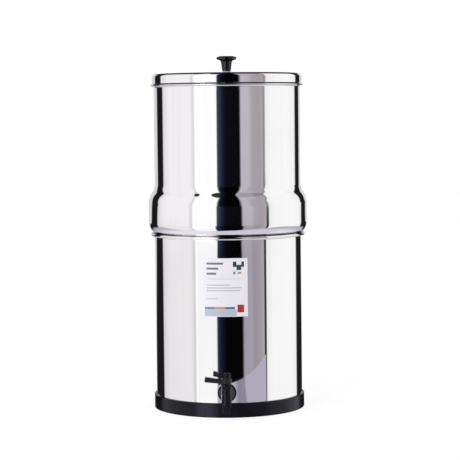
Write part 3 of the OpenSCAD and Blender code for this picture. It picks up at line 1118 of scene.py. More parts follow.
@dataclass(frozen=True)
class Thread:
    """A closed ridge that winds round a stem."""

    radius: float
    depth: float
    pitch: float
    turns: int
    steps: int = 32
    bite: float = 0.15

    def wind(self, piece: bpy.types.Object, pivot: Place, turn: Turn = Turn.UPRIGHT) -> None:
        """Wind the ridge and fuse it on a piece's stem.

        Args:
            piece: The piece with the stem.
            pivot: The start of the ridge's axis.
            turn: The direction of the axis.
        """
        root, pitch = self.radius - self.depth - self.bite, self.pitch
        outline = [(root, 0.0), (self.radius, 0.38 * pitch), (self.radius, 0.5 * pitch),
                   (root, 0.88 * pitch)]
        ridge = trace("ridge", [Vector((x, 0.0, z)) for x, z in outline + outline[:1]])
        bpy.ops.object.mode_set(mode="OBJECT")
        shape(ridge, "SCREW", angle=math.tau, screw_offset=pitch * MM, iterations=self.turns,
              steps=self.steps, render_steps=self.steps)
        with editing(ridge):
            close_ends()
        placed(ridge, pivot, turn)
        combine(piece, ridge, Join.FUSE)


def dress(piece: bpy.types.Object, finish: Finish, body: Body, nodes: Iterable[str],
          angle: float = 35.0) -> bpy.types.Object:
    """Give a finished piece its surface and its place in the frame.

    Args:
        piece: The finished piece.
        finish: Its surface finish.
        body: The body that it moves with.
        nodes: The CAD nodes that it stands for.
        angle: Edges sharper than this stay sharp, in degrees.

    Returns:
        The piece.
    """
    activate(piece)
    bpy.ops.object.shade_smooth_by_angle(angle=math.radians(angle))
    piece.data.materials.clear()
    piece.data.materials.append(finish.material())
    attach(piece, body.value)
    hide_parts(*nodes)
    LOG.info("%s: %d faces", piece.name, len(piece.data.polygons))
    return piece


def repaint(nodes: Iterable[str], finish: Finish) -> None:
    """Give CAD nodes that keep their shape a better surface.

    Args:
        nodes: The nodes' names.
        finish: Their finish.
    """
    for node in nodes:
        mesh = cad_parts[node].data
        mesh.materials.clear()
        mesh.materials.append(finish.material())
        LOG.info("%s: repainted", node)


# ---- Studio ----------------------------------------------------------------------------------


@dataclass
class Studio:
    """Camera, lamp, floor and surroundings."""

    distance: float = 2.6202
    height: float = 0.4373
    azimuth: float = 1.873
    pitch: float = 3.843
    yaw: float = -0.065
    roll: float = -0.54
    lens: float = 139.0
    film: float = 36.0
    far: float = 60.0
    lamp_power: float = 16.0
    lamp_size: float = 1.3
    lamp_place: Place = (-1.1, -1.5, 1.9)
    lamp_aim: Place = (0.0, 0.0, 0.2)
    floor_size: float = 14.0
    floor_glow: float = 0.84
    table_front: float = 0.4233
    table_slope: float = 0.215
    table_curve: float = 0.4
    table_left: float = -18.0
    table_right: float = 59.6
    table_edge: float = 0.002
    grazing: Ramp = (0.81, 0.68)
    slanting: Ramp = (0.3, 0.7)
    middle: Span = (-32.0, -12.0, 60.0, 95.0)
    shaded: Span = (6.0, 12.0, 19.5, 23.0)
    mirror_radius: float = 0.108

    def build(self) -> None:
        """Set up everything round the object, camera first."""
        self.camera()
        self.lamp()
        self.floor()
        Surroundings(self.azimuth).build()
        bpy.context.scene.view_settings.view_transform = "Standard"
        LOG.info("studio: camera %.2f m away, lens %.0f mm", self.distance, self.lens)

    def camera(self) -> None:
        """Place the camera."""
        az, pitch, roll = (math.radians(v) for v in (self.azimuth, self.pitch, self.roll))
        heading = az + math.radians(self.yaw)
        ahead = Vector((-math.sin(heading) * math.cos(pitch),
                        math.cos(heading) * math.cos(pitch), -math.sin(pitch)))
        level = Vector((math.cos(heading), math.sin(heading), 0.0))
        up = level.cross(ahead)
        right = level * math.cos(roll) + up * math.sin(roll)
        up = right.cross(ahead)
        lens = bpy.data.cameras.new("view")
        lens.lens = self.lens
        lens.sensor_width = self.film
        lens.clip_end = self.far
        view = bpy.data.objects.new("view", lens)
        bpy.context.scene.collection.objects.link(view)
        turn = Matrix((right, up, -ahead)).transposed().to_4x4()
        spot = Vector((self.distance * math.sin(az), -self.distance * math.cos(az), self.height))
        view.matrix_world = Matrix.Translation(spot) @ turn
        bpy.context.scene.camera = view

    def lamp(self) -> None:
        """Hang one soft lamp high on the left, in front of the object."""
        light = bpy.data.lights.new("soft_lamp", "AREA")
        light.energy = self.lamp_power
        light.size = self.lamp_size
        lamp = bpy.data.objects.new("soft_lamp", light)
        bpy.context.scene.collection.objects.link(lamp)
        lamp.location = self.lamp_place
        aim = Vector(self.lamp_aim) - lamp.location
        lamp.rotation_euler = aim.to_track_quat("-Z", "Y").to_euler()
        lamp.visible_glossy = False

    def floor(self) -> None:
        """Lay the pale floor; in reflections it is a lavender table top with a front edge."""
        deselect()
        bpy.ops.mesh.primitive_plane_add(size=self.floor_size, location=(0.0, 0.0, 0.0))
        plane = bpy.context.active_object
        plane.name = "floor"
        made = bpy.data.materials.new("floor_white")
        made.use_nodes = True
        graph = Graph(made.node_tree)
        white = graph.shader("Emission", (1, 1, 1, 1), Strength=self.floor_glow)
        lit = graph.shader("BsdfDiffuse", (0.2, 0.2, 0.2, 1))
        direct = graph.add("ShaderNodeAddShader", inputs={0: white, 1: lit})
        plain = graph.shader("BsdfDiffuse", (0.8, 0.8, 0.8, 1))
        indirect = graph.choice(graph.ray("Is Glossy Ray"), plain, self.table(graph))
        final = graph.choice(graph.ray("Is Camera Ray"), indirect, direct)
        graph.node("ShaderNodeOutputMaterial", inputs={"Surface": final})
        plane.data.materials.append(made)

    def table(self, graph: Graph) -> Signal:
        """The table top that the polished walls mirror, clear beyond its edges.

        Args:
            graph: The floor material's graph.

        Returns:
            The table's shader.
        """
        x, y, _ = graph.axes(graph.place())
        bearing = x.bearing(-y) * DEGREES - self.azimuth
        edge = self.table_edge
        sector = (self.past_line(x, y, self.table_left).between(-edge, edge)
                  * self.past_line(x, y, self.table_right).between(edge, -edge))
        front = y + x * self.table_slope - x * x * self.table_curve
        near = front.between(-self.table_front - edge, -self.table_front + edge)
        facing = graph.add("ShaderNodeLayerWeight", inputs={"Blend": 0.5}, output="Facing")
        steep = graph.mix(bearing.within(*self.middle), tone(236, 234, 241), tone(212, 208, 222))
        slant = graph.mix(bearing.within(*self.shaded), tone(182, 178, 192), tone(144, 140, 155))
        top = graph.mix(facing.between(*self.slanting), steep, slant)
        seen = near * sector.most(facing.between(*self.grazing))
        clear = graph.add("ShaderNodeBsdfTransparent")
        return graph.choice(seen, clear, graph.shader("Emission", top))

    def past_line(self, x: Signal, y: Signal, bearing: float) -> Signal:
        """The distance of a floor point beyond a line that the vessel's wall mirrors upright.

        Args:
            x: The point's X.
            y: The point's Y.
            bearing: The bearing that the wall mirrors, in degrees from the camera.

        Returns:
            The distance in metres, above 0 to the right of the line.
        """
        turned = math.radians(bearing + self.azimuth)
        start = self.mirror_radius * math.sin(math.radians(bearing / 2))
        return x * math.cos(turned) + y * math.sin(turned) + start


@dataclass(frozen=True)
class Zone:
    """A soft-edged patch of the surroundings, in degrees of bearing and of rise."""

    weight: float
    bearings: Span
    rises: Ramp | Span

    def cover(self, bearing: Signal, rise: Signal) -> Signal:
        """The zone's weight inside it and 0 outside.

        Args:
            bearing: The direction's bearing from the camera's.
            rise: Its rise over the horizon.

        Returns:
            The weight.
        """
        ramp = rise.within if len(self.rises) == 4 else rise.between
        return bearing.within(*self.bearings) * ramp(*self.rises) * self.weight


LID_RISE = (0.72, 0.84)
LOW_RISE = (-3.0, -5.0)
HIGH_RISE = (46.0, 52.0)
NAVY = (-17.0, -15.0, 18.0, 22.0)


@dataclass
class Surroundings:
    """The world: white for the camera, plain light, and cards and flags for mirror rays.

    Bearings are in degrees to the right of the camera's, rises in degrees over the horizon.
    """

    azimuth: float
    plain_light: float = 0.78
    card_light: float = 1.08
    lean_rise: float = 25.0
    leans: tuple[tuple[float, Span], ...] = (
        (-0.58, (28.0, 50.0, 82.0, 100.0)), (0.27, (-100.0, -82.0, -46.0, -28.0)))
    middle: Ramp = (45.0, 28.0)
    lid_spread: float = 0.13
    foot_rise: Ramp = (-3.2, -6.5)
    foot_spread: float = 0.11
    fans: tuple[tuple[float, Ramp], ...] = ((9.0, (-3.3, -4.2)), (8.0, (-3.6, -9.0)))
    rear: Ramp = (136.0, 162.0)
    left_side: Ramp = (-104.0, -114.0)
    left_slope: float = 0.28
    left_step: float = 3.0
    left_step_rise: Ramp = (-2.6, -3.6)
    right_side: Ramp = (104.0, 118.0)
    right_slope: float = -0.16
    right_step: float = 3.0
    side_top: float = 30.0
    shades: tuple[Zone, ...] = (
        Zone(0.29, (18.0, 22.0, 30.0, 58.0), LOW_RISE),
        Zone(0.57, NAVY, LOW_RISE),
        Zone(0.08, (-51.0, -48.0, -18.0, -15.0), LOW_RISE),
        Zone(0.09, (-125.0, -118.0, -54.0, -50.0), LOW_RISE),
        Zone(0.75, NAVY, LID_RISE),
    )
    glows: tuple[Zone, ...] = (
        Zone(4.5, (-56.0, -44.0, -30.0, -16.0), (-19.0, -15.0, -10.3, -9.3)),
        Zone(1.3, (-51.0, -48.0, -36.0, -30.0), (6.5, 8.5, 16.0, 20.0)),
    )
    strip: Zone = Zone(0.28, (18.0, 24.0, 70.0, 82.0), HIGH_RISE)
    notch: Zone = Zone(1.0, (-72.0, -70.0, -62.0, -60.5), (48.0, 51.0))
    roof_edge: Ramp = (0.57, 0.61)
    roof_rise: Ramp = (12.0, 18.0)
    leaf_left: Ramp = (-17.5, -15.0)
    leaf_right: Ramp = (-8.0, -16.0)
    leaf_slope: float = 1.55
    flag_depth: float = 0.965
    line: Span = (57.0, 58.2, 61.0, 62.2)
    line_depth: float = 0.45
    line_rise: Ramp = (-1.5, -4.0)
    line_deeper: float = 0.47

    def bands(self) -> list[tuple[float, Any]]:
        """The tones of the studio's cards and flags round the horizon.

        Returns:
            Stops of place from 0 to 1 and linear colour; 0.5 is towards the camera.
        """
        tones = (
            (-180, (214, 214, 214)), (-145.5, (210, 210, 211)), (-142.5, (26, 25, 29)),
            (-122.5, (24, 23, 26)), (-119.5, (219, 217, 218)), (-105, (240, 238, 239)),
            (-60, (242, 240, 241)), (-54.8, (219, 217, 218)), (-53.2, (219, 217, 218)),
            (-51.8, (255, 255, 255)), (-17, (255, 255, 255)), (-15.4, (56, 60, 82)),
            (-12, (50, 55, 77)), (-8.5, (30, 35, 53)), (-4.5, (18, 19, 29)), (-2, (13, 13, 19)),
            (19.4, (10, 9, 14)), (21.4, (186, 180, 191)), (33, (186, 181, 191)),
            (40, (166, 161, 168)), (51, (163, 156, 160)), (58.8, (173, 167, 169)),
            (60.8, (236, 236, 236)), (72, (246, 246, 246)), (110, (248, 248, 248)),
            (131, (240, 240, 240)), (135, (30, 30, 31)), (152, (24, 24, 25)),
            (156, (216, 216, 216)), (180, (214, 214, 214)),
        )
        return [((angle + 180) / 360, tone(*colour)) for angle, colour in tones]

    def upright(self, bearing: Signal, rise: Signal) -> Signal:
        """Lean the cards in front, so that the shoulder and the lid show their edges upright.

        Args:
            bearing: The direction's bearing.
            rise: Its rise.

        Returns:
            The bearing at which the cards are read.
        """
        lift = (rise - self.lean_rise).most(0.0)
        read = bearing
        for share, span in self.leans:
            read = read + lift * bearing.within(*span) * share
        spread = (rise.between(*LID_RISE) * self.lid_spread
                  - rise.between(*self.foot_rise) * self.foot_spread)
        return read + bearing * abs(bearing).between(*self.middle) * spread

    def turned(self, upright: Signal, rise: Signal) -> Signal:
        """Shift the flags at the sides and the back with the rise.

        Args:
            upright: The bearing at which the cards are read.
            rise: The direction's rise.

        Returns:
            The bearing with the shifts.
        """
        (near, near_rise), (far, far_rise) = self.fans
        fan = rise.between(*near_rise) * near + rise.between(*far_rise) * far
        read = upright + fan * ((-upright).between(*self.rear) - upright.between(*self.rear))
        raised = rise.most(0.0).least(self.side_top)
        left = raised * self.left_slope + rise.between(*self.left_step_rise) * self.left_step
        right = rise.between(*LID_RISE) * self.right_step + raised * self.right_slope
        return (read + upright.between(*self.left_side) * left
                + upright.between(*self.right_side) * right)

    def flags(self, bearing: Signal, rise: Signal, z: Signal) -> Signal:
        """The dark roof over the lid, and two small dark flags under it.

        Args:
            bearing: The direction's bearing.
            rise: Its rise.
            z: The direction's Z.

        Returns:
            1 on the flags and 0 elsewhere.
        """
        cosine = (1.0 - z * z).most(0.0) ** 0.5 * (bearing * (1 / DEGREES)).cosine()
        halfway = z / (2.0 + 2.0 * cosine).most(0.0001) ** 0.5
        roof = halfway.between(*self.roof_edge) * rise.between(*self.roof_rise)
        tip = bearing + (rise - HIGH_RISE[0]).most(0.0) * self.leaf_slope
        leaf = tip.between(*self.leaf_left) * bearing.between(*self.leaf_right)
        leaf = leaf * rise.between(*HIGH_RISE)
        return roof.most(leaf).most(self.notch.cover(bearing, rise))

    def build(self) -> None:
        """Fill the world."""
        world = bpy.data.worlds.new("studio")
        bpy.context.scene.world = world
        world.use_nodes = True
        graph = Graph(world.node_tree)
        x, y, z = graph.axes(graph.add("ShaderNodeTexCoord", output="Generated"))
        bearing = x.bearing(-y) * DEGREES - self.azimuth
        rise = z.sine_angle() * DEGREES
        upright = self.upright(bearing, rise)
        turn = (self.turned(upright, rise) + 180.0) / 360.0
        cards = graph.add("ShaderNodeValToRGB", {"stops": self.bands()}, {0: turn}, "Color")
        shade = 1.0
        for zone in self.shades:
            shade = shade - zone.cover(bearing, rise)
        glow = 1.0
        for zone in self.glows:
            glow = glow + zone.cover(bearing, rise)
        deeper = self.line_depth + rise.between(*self.line_rise) * self.line_deeper
        gain = shade * (1.0 - self.strip.cover(bearing, rise))
        gain = gain * (1.0 - self.flags(bearing, rise, z) * self.flag_depth)
        gain = gain * (1.0 - upright.within(*self.line) * deeper) * glow * self.card_light
        seen = graph.shader("Background", cards, Strength=gain)
        plain = graph.shader("Background", (1, 1, 1, 1), Strength=self.plain_light)
        white = graph.shader("Background", (1, 1, 1, 1), Strength=1.0)
        shiny = graph.ray("Is Glossy Ray").most(graph.ray("Is Transmission Ray"))
        final = graph.choice(graph.ray("Is Camera Ray"), graph.choice(shiny, plain, seen), white)
        graph.node("ShaderNodeOutputWorld", inputs={"Surface": final})


# ---- The filter ------------------------------------------------------------------------------


@dataclass
class BaseRing:
    """The black ring under and round the lower chamber."""

    inner: float = 92.0
    outer: float = 111.0
    wall_inner: float = 108.0
    height: float = 20.8
    foot: float = 4.0
    rounding: float = 1.2
    corner: float = 8.0
    chamfer: float = 0.4
    foot_chamfer: float = 0.6

    def build(self) -> None:
        """Spin the ring."""
        soft = self.chamfer
        profile = [(self.inner + self.foot_chamfer, 0.0)]
        profile += lower_corner(self.outer, 0.0, self.rounding, 15)
        profile += upper_corner(self.outer, self.height, self.rounding, 15)
        profile += [(self.wall_inner + soft, self.height), (self.wall_inner, self.height - soft)]
        profile += arc(self.wall_inner - self.corner, self.foot + self.corner, self.corner, 0, -90)
        profile += [(self.inner + soft, self.foot), (self.inner, self.foot - soft),
                    (self.inner, self.foot_chamfer)]
        ring = spun("base_ring_piece", eased(distinct(profile), 0.4))
        dress(ring, RING_RUBBER, Body.BASE, ["base_ring"])


@dataclass
class LowerVessel:
    """The lower chamber with its rolled rim, and the label on its front."""

    radius: float = 108.0
    sheet: float = 0.8
    curl: float = 2.5
    curl_r: float = 111.1
    corner: float = 8.0
    floor: float = 4.0
    top: float = 259.1
    curl_end: float = -120.0
    hole: float = 8.15
    hole_z: float = 36.0
    hole_margin: float = 9.0
    label_sweep_width: float = 62.0
    label_low: float = 144.9
    label_high: float = 228.3
    label_gap: float = 0.05
    label_thickness: float = 0.25
    label_corner: float = 1.2
    curl_lead: float = 3.0

    def build(self) -> None:
        """Make the chamber and its label."""
        self.shell()
        self.label()

    def shell(self) -> None:
        """Spin the sheet and drill the tap's hole."""
        curl_z = self.top - self.curl
        path = [(0.0, self.floor)]
        path += lower_corner(self.radius, self.floor, self.corner, 6)
        path += [(self.radius, self.hole_z - self.hole_margin),
                 (self.radius, self.hole_z + self.hole_margin),
                 (self.radius, curl_z - self.curl_lead)]
        path += arc(self.curl_r, curl_z, self.curl - self.sheet, 180, self.curl_end, 10)
        shell = spun("lower_chamber_piece", sheet_profile(path, self.sheet), 192)
        drill = rod("drill", self.hole, -self.radius - OVERSHOOT, -self.radius + OVERSHOOT,
                    (0.0, 0.0, self.hole_z), Turn.LEVEL)
        combine(shell, drill, Join.CUT)
        dress(shell, LOWER_STEEL, Body.BASE, ["lower_chamber"])

    def label(self) -> None:
        """Spin the label's strip, round its corners and give it thickness."""
        radius = self.radius + self.label_gap
        sweep = math.degrees(self.label_sweep_width / self.radius)
        strip = spun("front_label_piece", [(radius, self.label_low), (radius, self.label_high)],
                     32, start=-90 - sweep / 2, sweep=sweep, closed=False)
        with editing(strip):
            bpy.ops.mesh.select_all(action="DESELECT")
            mesh = bmesh.from_edit_mesh(strip.data)
            for vertex in mesh.verts:
                vertex.select_set(len(vertex.link_edges) == 2)
            mesh.select_flush_mode()
            bpy.ops.mesh.bevel(offset=self.label_corner * MM, segments=5, affect="VERTICES")
            bpy.ops.mesh.select_all(action="SELECT")
        outwards = sum((p.normal.dot(Vector((p.center.x, p.center.y, 0)))
                        for p in strip.data.polygons))
        shape(strip, "SOLIDIFY", thickness=self.label_thickness * MM,
              offset=1.0 if outwards > 0 else -1.0)
        with editing(strip):
            clean_mesh()
        dress(strip, LABEL, Body.BASE, ["front_label"])


@dataclass
class UpperVessel:
    """The upper chamber: nested foot, bulge, shoulder and flanged rim."""

    wall: float = 107.4
    sheet: float = 0.8
    corner: float = 8.0
    nest_r: float = 105.6
    nest_z: float = 242.5
    bulge_r: float = 116.6
    bulge_curve: float = 20.0
    bulge_band: float = 27.13
    shoulder_curve: float = 30.0
    slope: float = 33.0
    neck_curve: float = 20.0
    fillet: float = 3.0
    joint: float = 259.1
    curl: float = 2.5
    curl_r: float = 111.1
    seat_gap: float = 0.3
    flare: float = 2.2
    flange: float = 112.4
    rim: float = 474.3
    hole: float = 6.4
    hole_reach: float = 50.0
    lip: Point = (0.25, 0.2)

    def outline(self) -> Path:
        """The outer face from the floor's centre to the rim flange.

        Returns:
            The path.
        """
        seat_r = self.bulge_r - self.bulge_curve
        reach = self.bulge_curve + self.curl + self.seat_gap
        seat_z = self.joint - self.curl + math.sqrt(reach ** 2 - (self.curl_r - seat_r) ** 2)
        fillet_r = self.nest_r + self.fillet
        fillet_z = seat_z - math.sqrt(
            (self.bulge_curve + self.fillet) ** 2 - (fillet_r - seat_r) ** 2)
        lean = math.degrees(math.atan2(fillet_z - seat_z, fillet_r - seat_r))
        shoulder_z = seat_z + self.bulge_band
        slope = math.radians(self.slope)
        curves = self.shoulder_curve + self.neck_curve
        inwards = self.bulge_r - self.wall - curves * (1 - math.cos(slope))
        neck_z = shoulder_z + curves * math.sin(slope) + inwards / math.tan(slope)
        path = [(0.0, self.nest_z)]
        path += lower_corner(self.nest_r, self.nest_z, self.corner, 8)
        path += arc(fillet_r, fillet_z, self.fillet, 180, 180 + lean, 8)
        path += arc(seat_r, seat_z, self.bulge_curve, lean, 0, 3)
        path += arc(self.bulge_r - self.shoulder_curve, shoulder_z, self.shoulder_curve,
                    0, self.slope, 2)
        path += arc(self.wall + self.neck_curve, neck_z, self.neck_curve,
                    180 + self.slope, 180, 3)
        path += arc(self.wall + self.flare, self.rim - self.sheet - self.flare, self.flare,
                    180, 90, 9)
        under = self.rim - self.sheet
        path += [(self.flange - self.lip[0], under), (self.flange, under + self.lip[1])]
        return path

    def build(self) -> None:
        """Spin the sheet and drill the floor."""
        shell = spun("upper_chamber_piece", sheet_profile(self.outline(), self.sheet), 192)
        reach = self.hole_reach
        for x, y in ((-reach, 0.0), (reach, 0.0), (0.0, -reach), (0.0, reach)):
            drill = rod("drill", self.hole, self.nest_z - 3.0, self.nest_z + 3.0, (x, y, 0.0))
            combine(shell, drill, Join.CUT)
        dress(shell, UPPER_STEEL, Body.UPPER, ["upper_chamber"])


@dataclass
class Lid:
    """The pressed lid with its hem and locating skirt."""

    wall: float = 110.0
    sheet: float = 0.6
    top: float = 491.7
    corner: float = 5.5
    foot_rise: float = 1.85
    foot_run: float = 1.75
    flange: float = 112.4
    hem: float = 474.45
    skirt_r: float = 104.6
    skirt_low: float = 466.3
    screw_hole: float = 2.75

    def build(self) -> None:
        """Spin the lid's closed profile."""
        s = self.sheet
        hem_top = self.hem + 2 * s
        corner_x, corner_z = self.wall - self.corner, self.top - self.corner
        outer = [(self.screw_hole, self.top)]
        outer += arc(corner_x, corner_z, self.corner, 90, 0, 3)
        outer += [(self.wall, hem_top + self.foot_rise + 0.2)]
        outer += eased([(self.wall + 0.05, hem_top + self.foot_rise),
                        (self.wall + self.foot_run, hem_top + 0.05)], 0.12, 1.0)
        outer += arc(self.flange - s, self.hem + s, s, 90, -90, 20)
        outer += [(self.skirt_r, self.hem), (self.skirt_r, self.skirt_low),
                  (self.skirt_r - s, self.skirt_low), (self.skirt_r - s, self.hem + s),
                  (self.wall - s, self.hem + s)]
        outer += arc(corner_x, corner_z, self.corner - s, 0, 90, 6)
        outer += [(self.screw_hole, self.top - s)]
        lid = spun("lid_piece", eased(distinct(outer)), 192)
        dress(lid, STEEL, Body.LID, ["lid"])


@dataclass
class Knob:
    """The lid's knob with its spacer, screw and washer."""

    foot_z: float = 495.4
    height: float = 21.8
    radius: float = 14.6
    foot: float = 6.4
    taper: tuple[Point, ...] = ((6.9, 3.6), (7.3, 7.6), (7.75, 11.1), (8.2, 13.2))
    flare: float = 2.2
    flare_x: float = 10.45
    flare_h: float = 13.4
    flare_end: float = 107.0
    edge: float = 3.6
    crown: float = 1.2
    top_r: float = 10.4
    rounding: float = 0.8
    bore: float = 2.55
    bore_depth: float = 12.0
    spacer_r: float = 6.2
    lid_top: float = 491.7
    spacer_bore: float = 2.75
    spacer_round: float = 0.4
    mouth: float = 0.3
    foot_soft: float = 0.4
    under_round: float = 0.5
    crown_round: float = 1.0
    dimple_r: float = 2.2
    dimple_wall: float = 0.4
    dimple_depth: float = 0.35
    screw_bevel: float = 0.25

    def build(self) -> None:
        """Make the knob, its spacer and its fasteners."""
        self.knob()
        self.spacer()
        for node in ("knob_screw", "knob_lock_washer"):
            dress(refined(node, self.screw_bevel), HARDWARE, Body.LID, [node])

    def knob(self) -> None:
        """Spin the trumpet-shaped knob."""
        disc_z = self.foot_z + self.height - self.crown - self.edge
        top = self.foot_z + self.height
        edge_z = disc_z + self.edge - self.rounding
        mouth, soft, under = self.mouth, self.foot_soft, self.under_round
        profile = [(self.bore, self.foot_z + mouth), (self.bore + mouth, self.foot_z),
                   (self.foot - soft, self.foot_z), (self.foot, self.foot_z + soft)]
        profile += [(x, self.foot_z + z) for x, z in self.taper]
        profile += arc(self.flare_x, self.foot_z + self.flare_h, self.flare, 176,
                       self.flare_end, 8)
        profile += arc(self.radius - under, disc_z + under, under, -60, 0, 20)
        profile += arc(self.radius - self.rounding, edge_z, self.rounding, 0, 60, 12)
        profile += arc(self.top_r - 0.4, top - self.crown_round, self.crown_round, 66, 90, 8)
        dimple_z = top - self.dimple_depth
        profile += [(self.dimple_r, top), (self.dimple_r - self.dimple_wall, dimple_z),
                    (0.0, dimple_z)]
        ceiling = self.foot_z + self.bore_depth
        profile += [(0.0, ceiling), (self.bore, ceiling)]
        knob = spun("lid_knob_piece", eased(distinct(profile), 0.4), 96)
        dress(knob, KNOB_PLASTIC, Body.LID, ["lid_knob"], 30.0)

    def spacer(self) -> None:
        """Spin the grey spacer with softened edges."""
        soft = self.spacer_round
        low, high = self.lid_top, self.foot_z
        profile = [(self.spacer_bore, low), (self.spacer_r - soft, low)]
        profile += lower_corner(self.spacer_r, low, soft, 22)
        profile += upper_corner(self.spacer_r, high, soft, 22)
        profile += [(self.spacer_bore, high)]
        ring = spun("knob_spacer_piece", distinct(profile), 64)
        dress(ring, SPACER_GREY, Body.LID, ["knob_spacer"])


@dataclass
class HexNut:
    """A hexagon nut with chamfered corners."""

    flats: float
    thickness: float
    bore: float
    chamfer: float = 1.1
    corner: float = 0.5

    def build(self, name: str, pivot: Place, turn: Turn = Turn.UPRIGHT) -> bpy.types.Object:
        """Cut a hexagonal prism to a nut.

        Args:
            name: The nut's name.
            pivot: The centre of its lower face.
            turn: The direction of its axis.

        Returns:
            The nut.
        """
        reach = self.flats / math.sqrt(3)
        deselect()
        bpy.ops.mesh.primitive_cylinder_add(
            vertices=6, radius=reach * MM, depth=self.thickness * MM,
            location=(0.0, 0.0, self.thickness / 2 * MM), rotation=(0.0, 0.0, math.pi / 6))
        nut = bpy.context.active_object
        nut.name = name
        settle(nut)
        soften(nut, self.corner, 3, Vector((0.0, 0.0, 1.0)))
        rise = self.chamfer * 0.55
        high = self.thickness - rise
        cone = spun("cone", [(0.0, 0.0), (reach - self.chamfer, 0.0), (reach + 0.1, rise),
                             (reach + 0.1, high), (reach - self.chamfer, self.thickness),
                             (0.0, self.thickness)], 96, closed=False)
        combine(nut, cone, Join.TRIM)
        low, top = -0.1, self.thickness + 0.1
        hole = [(0.0, low), (self.bore + 0.7, low), (self.bore, 0.5), (self.bore, top - 0.6),
                (self.bore + 0.7, top), (0.0, top)]
        combine(nut, spun("hole", hole, 64, closed=False), Join.CUT)
        placed(nut, pivot, turn)
        return nut


@dataclass
class Washer:
    """A flat ring with rounded edges."""

    radius: float
    hole: float
    thickness: float
    rounding: float = 0.5

    def build(self, name: str, pivot: Place, turn: Turn = Turn.UPRIGHT) -> bpy.types.Object:
        """Spin the ring.

        Args:
            name: The ring's name.
            pivot: The centre of its lower face.
            turn: The direction of its axis.

        Returns:
            The ring.
        """
        profile = [(self.hole, 0.0)] + lower_corner(self.radius, 0.0, self.rounding)
        profile += upper_corner(self.radius, self.thickness, self.rounding)
        profile += [(self.hole, self.thickness)]
        return spun(name, distinct(profile), 96, pivot, turn)


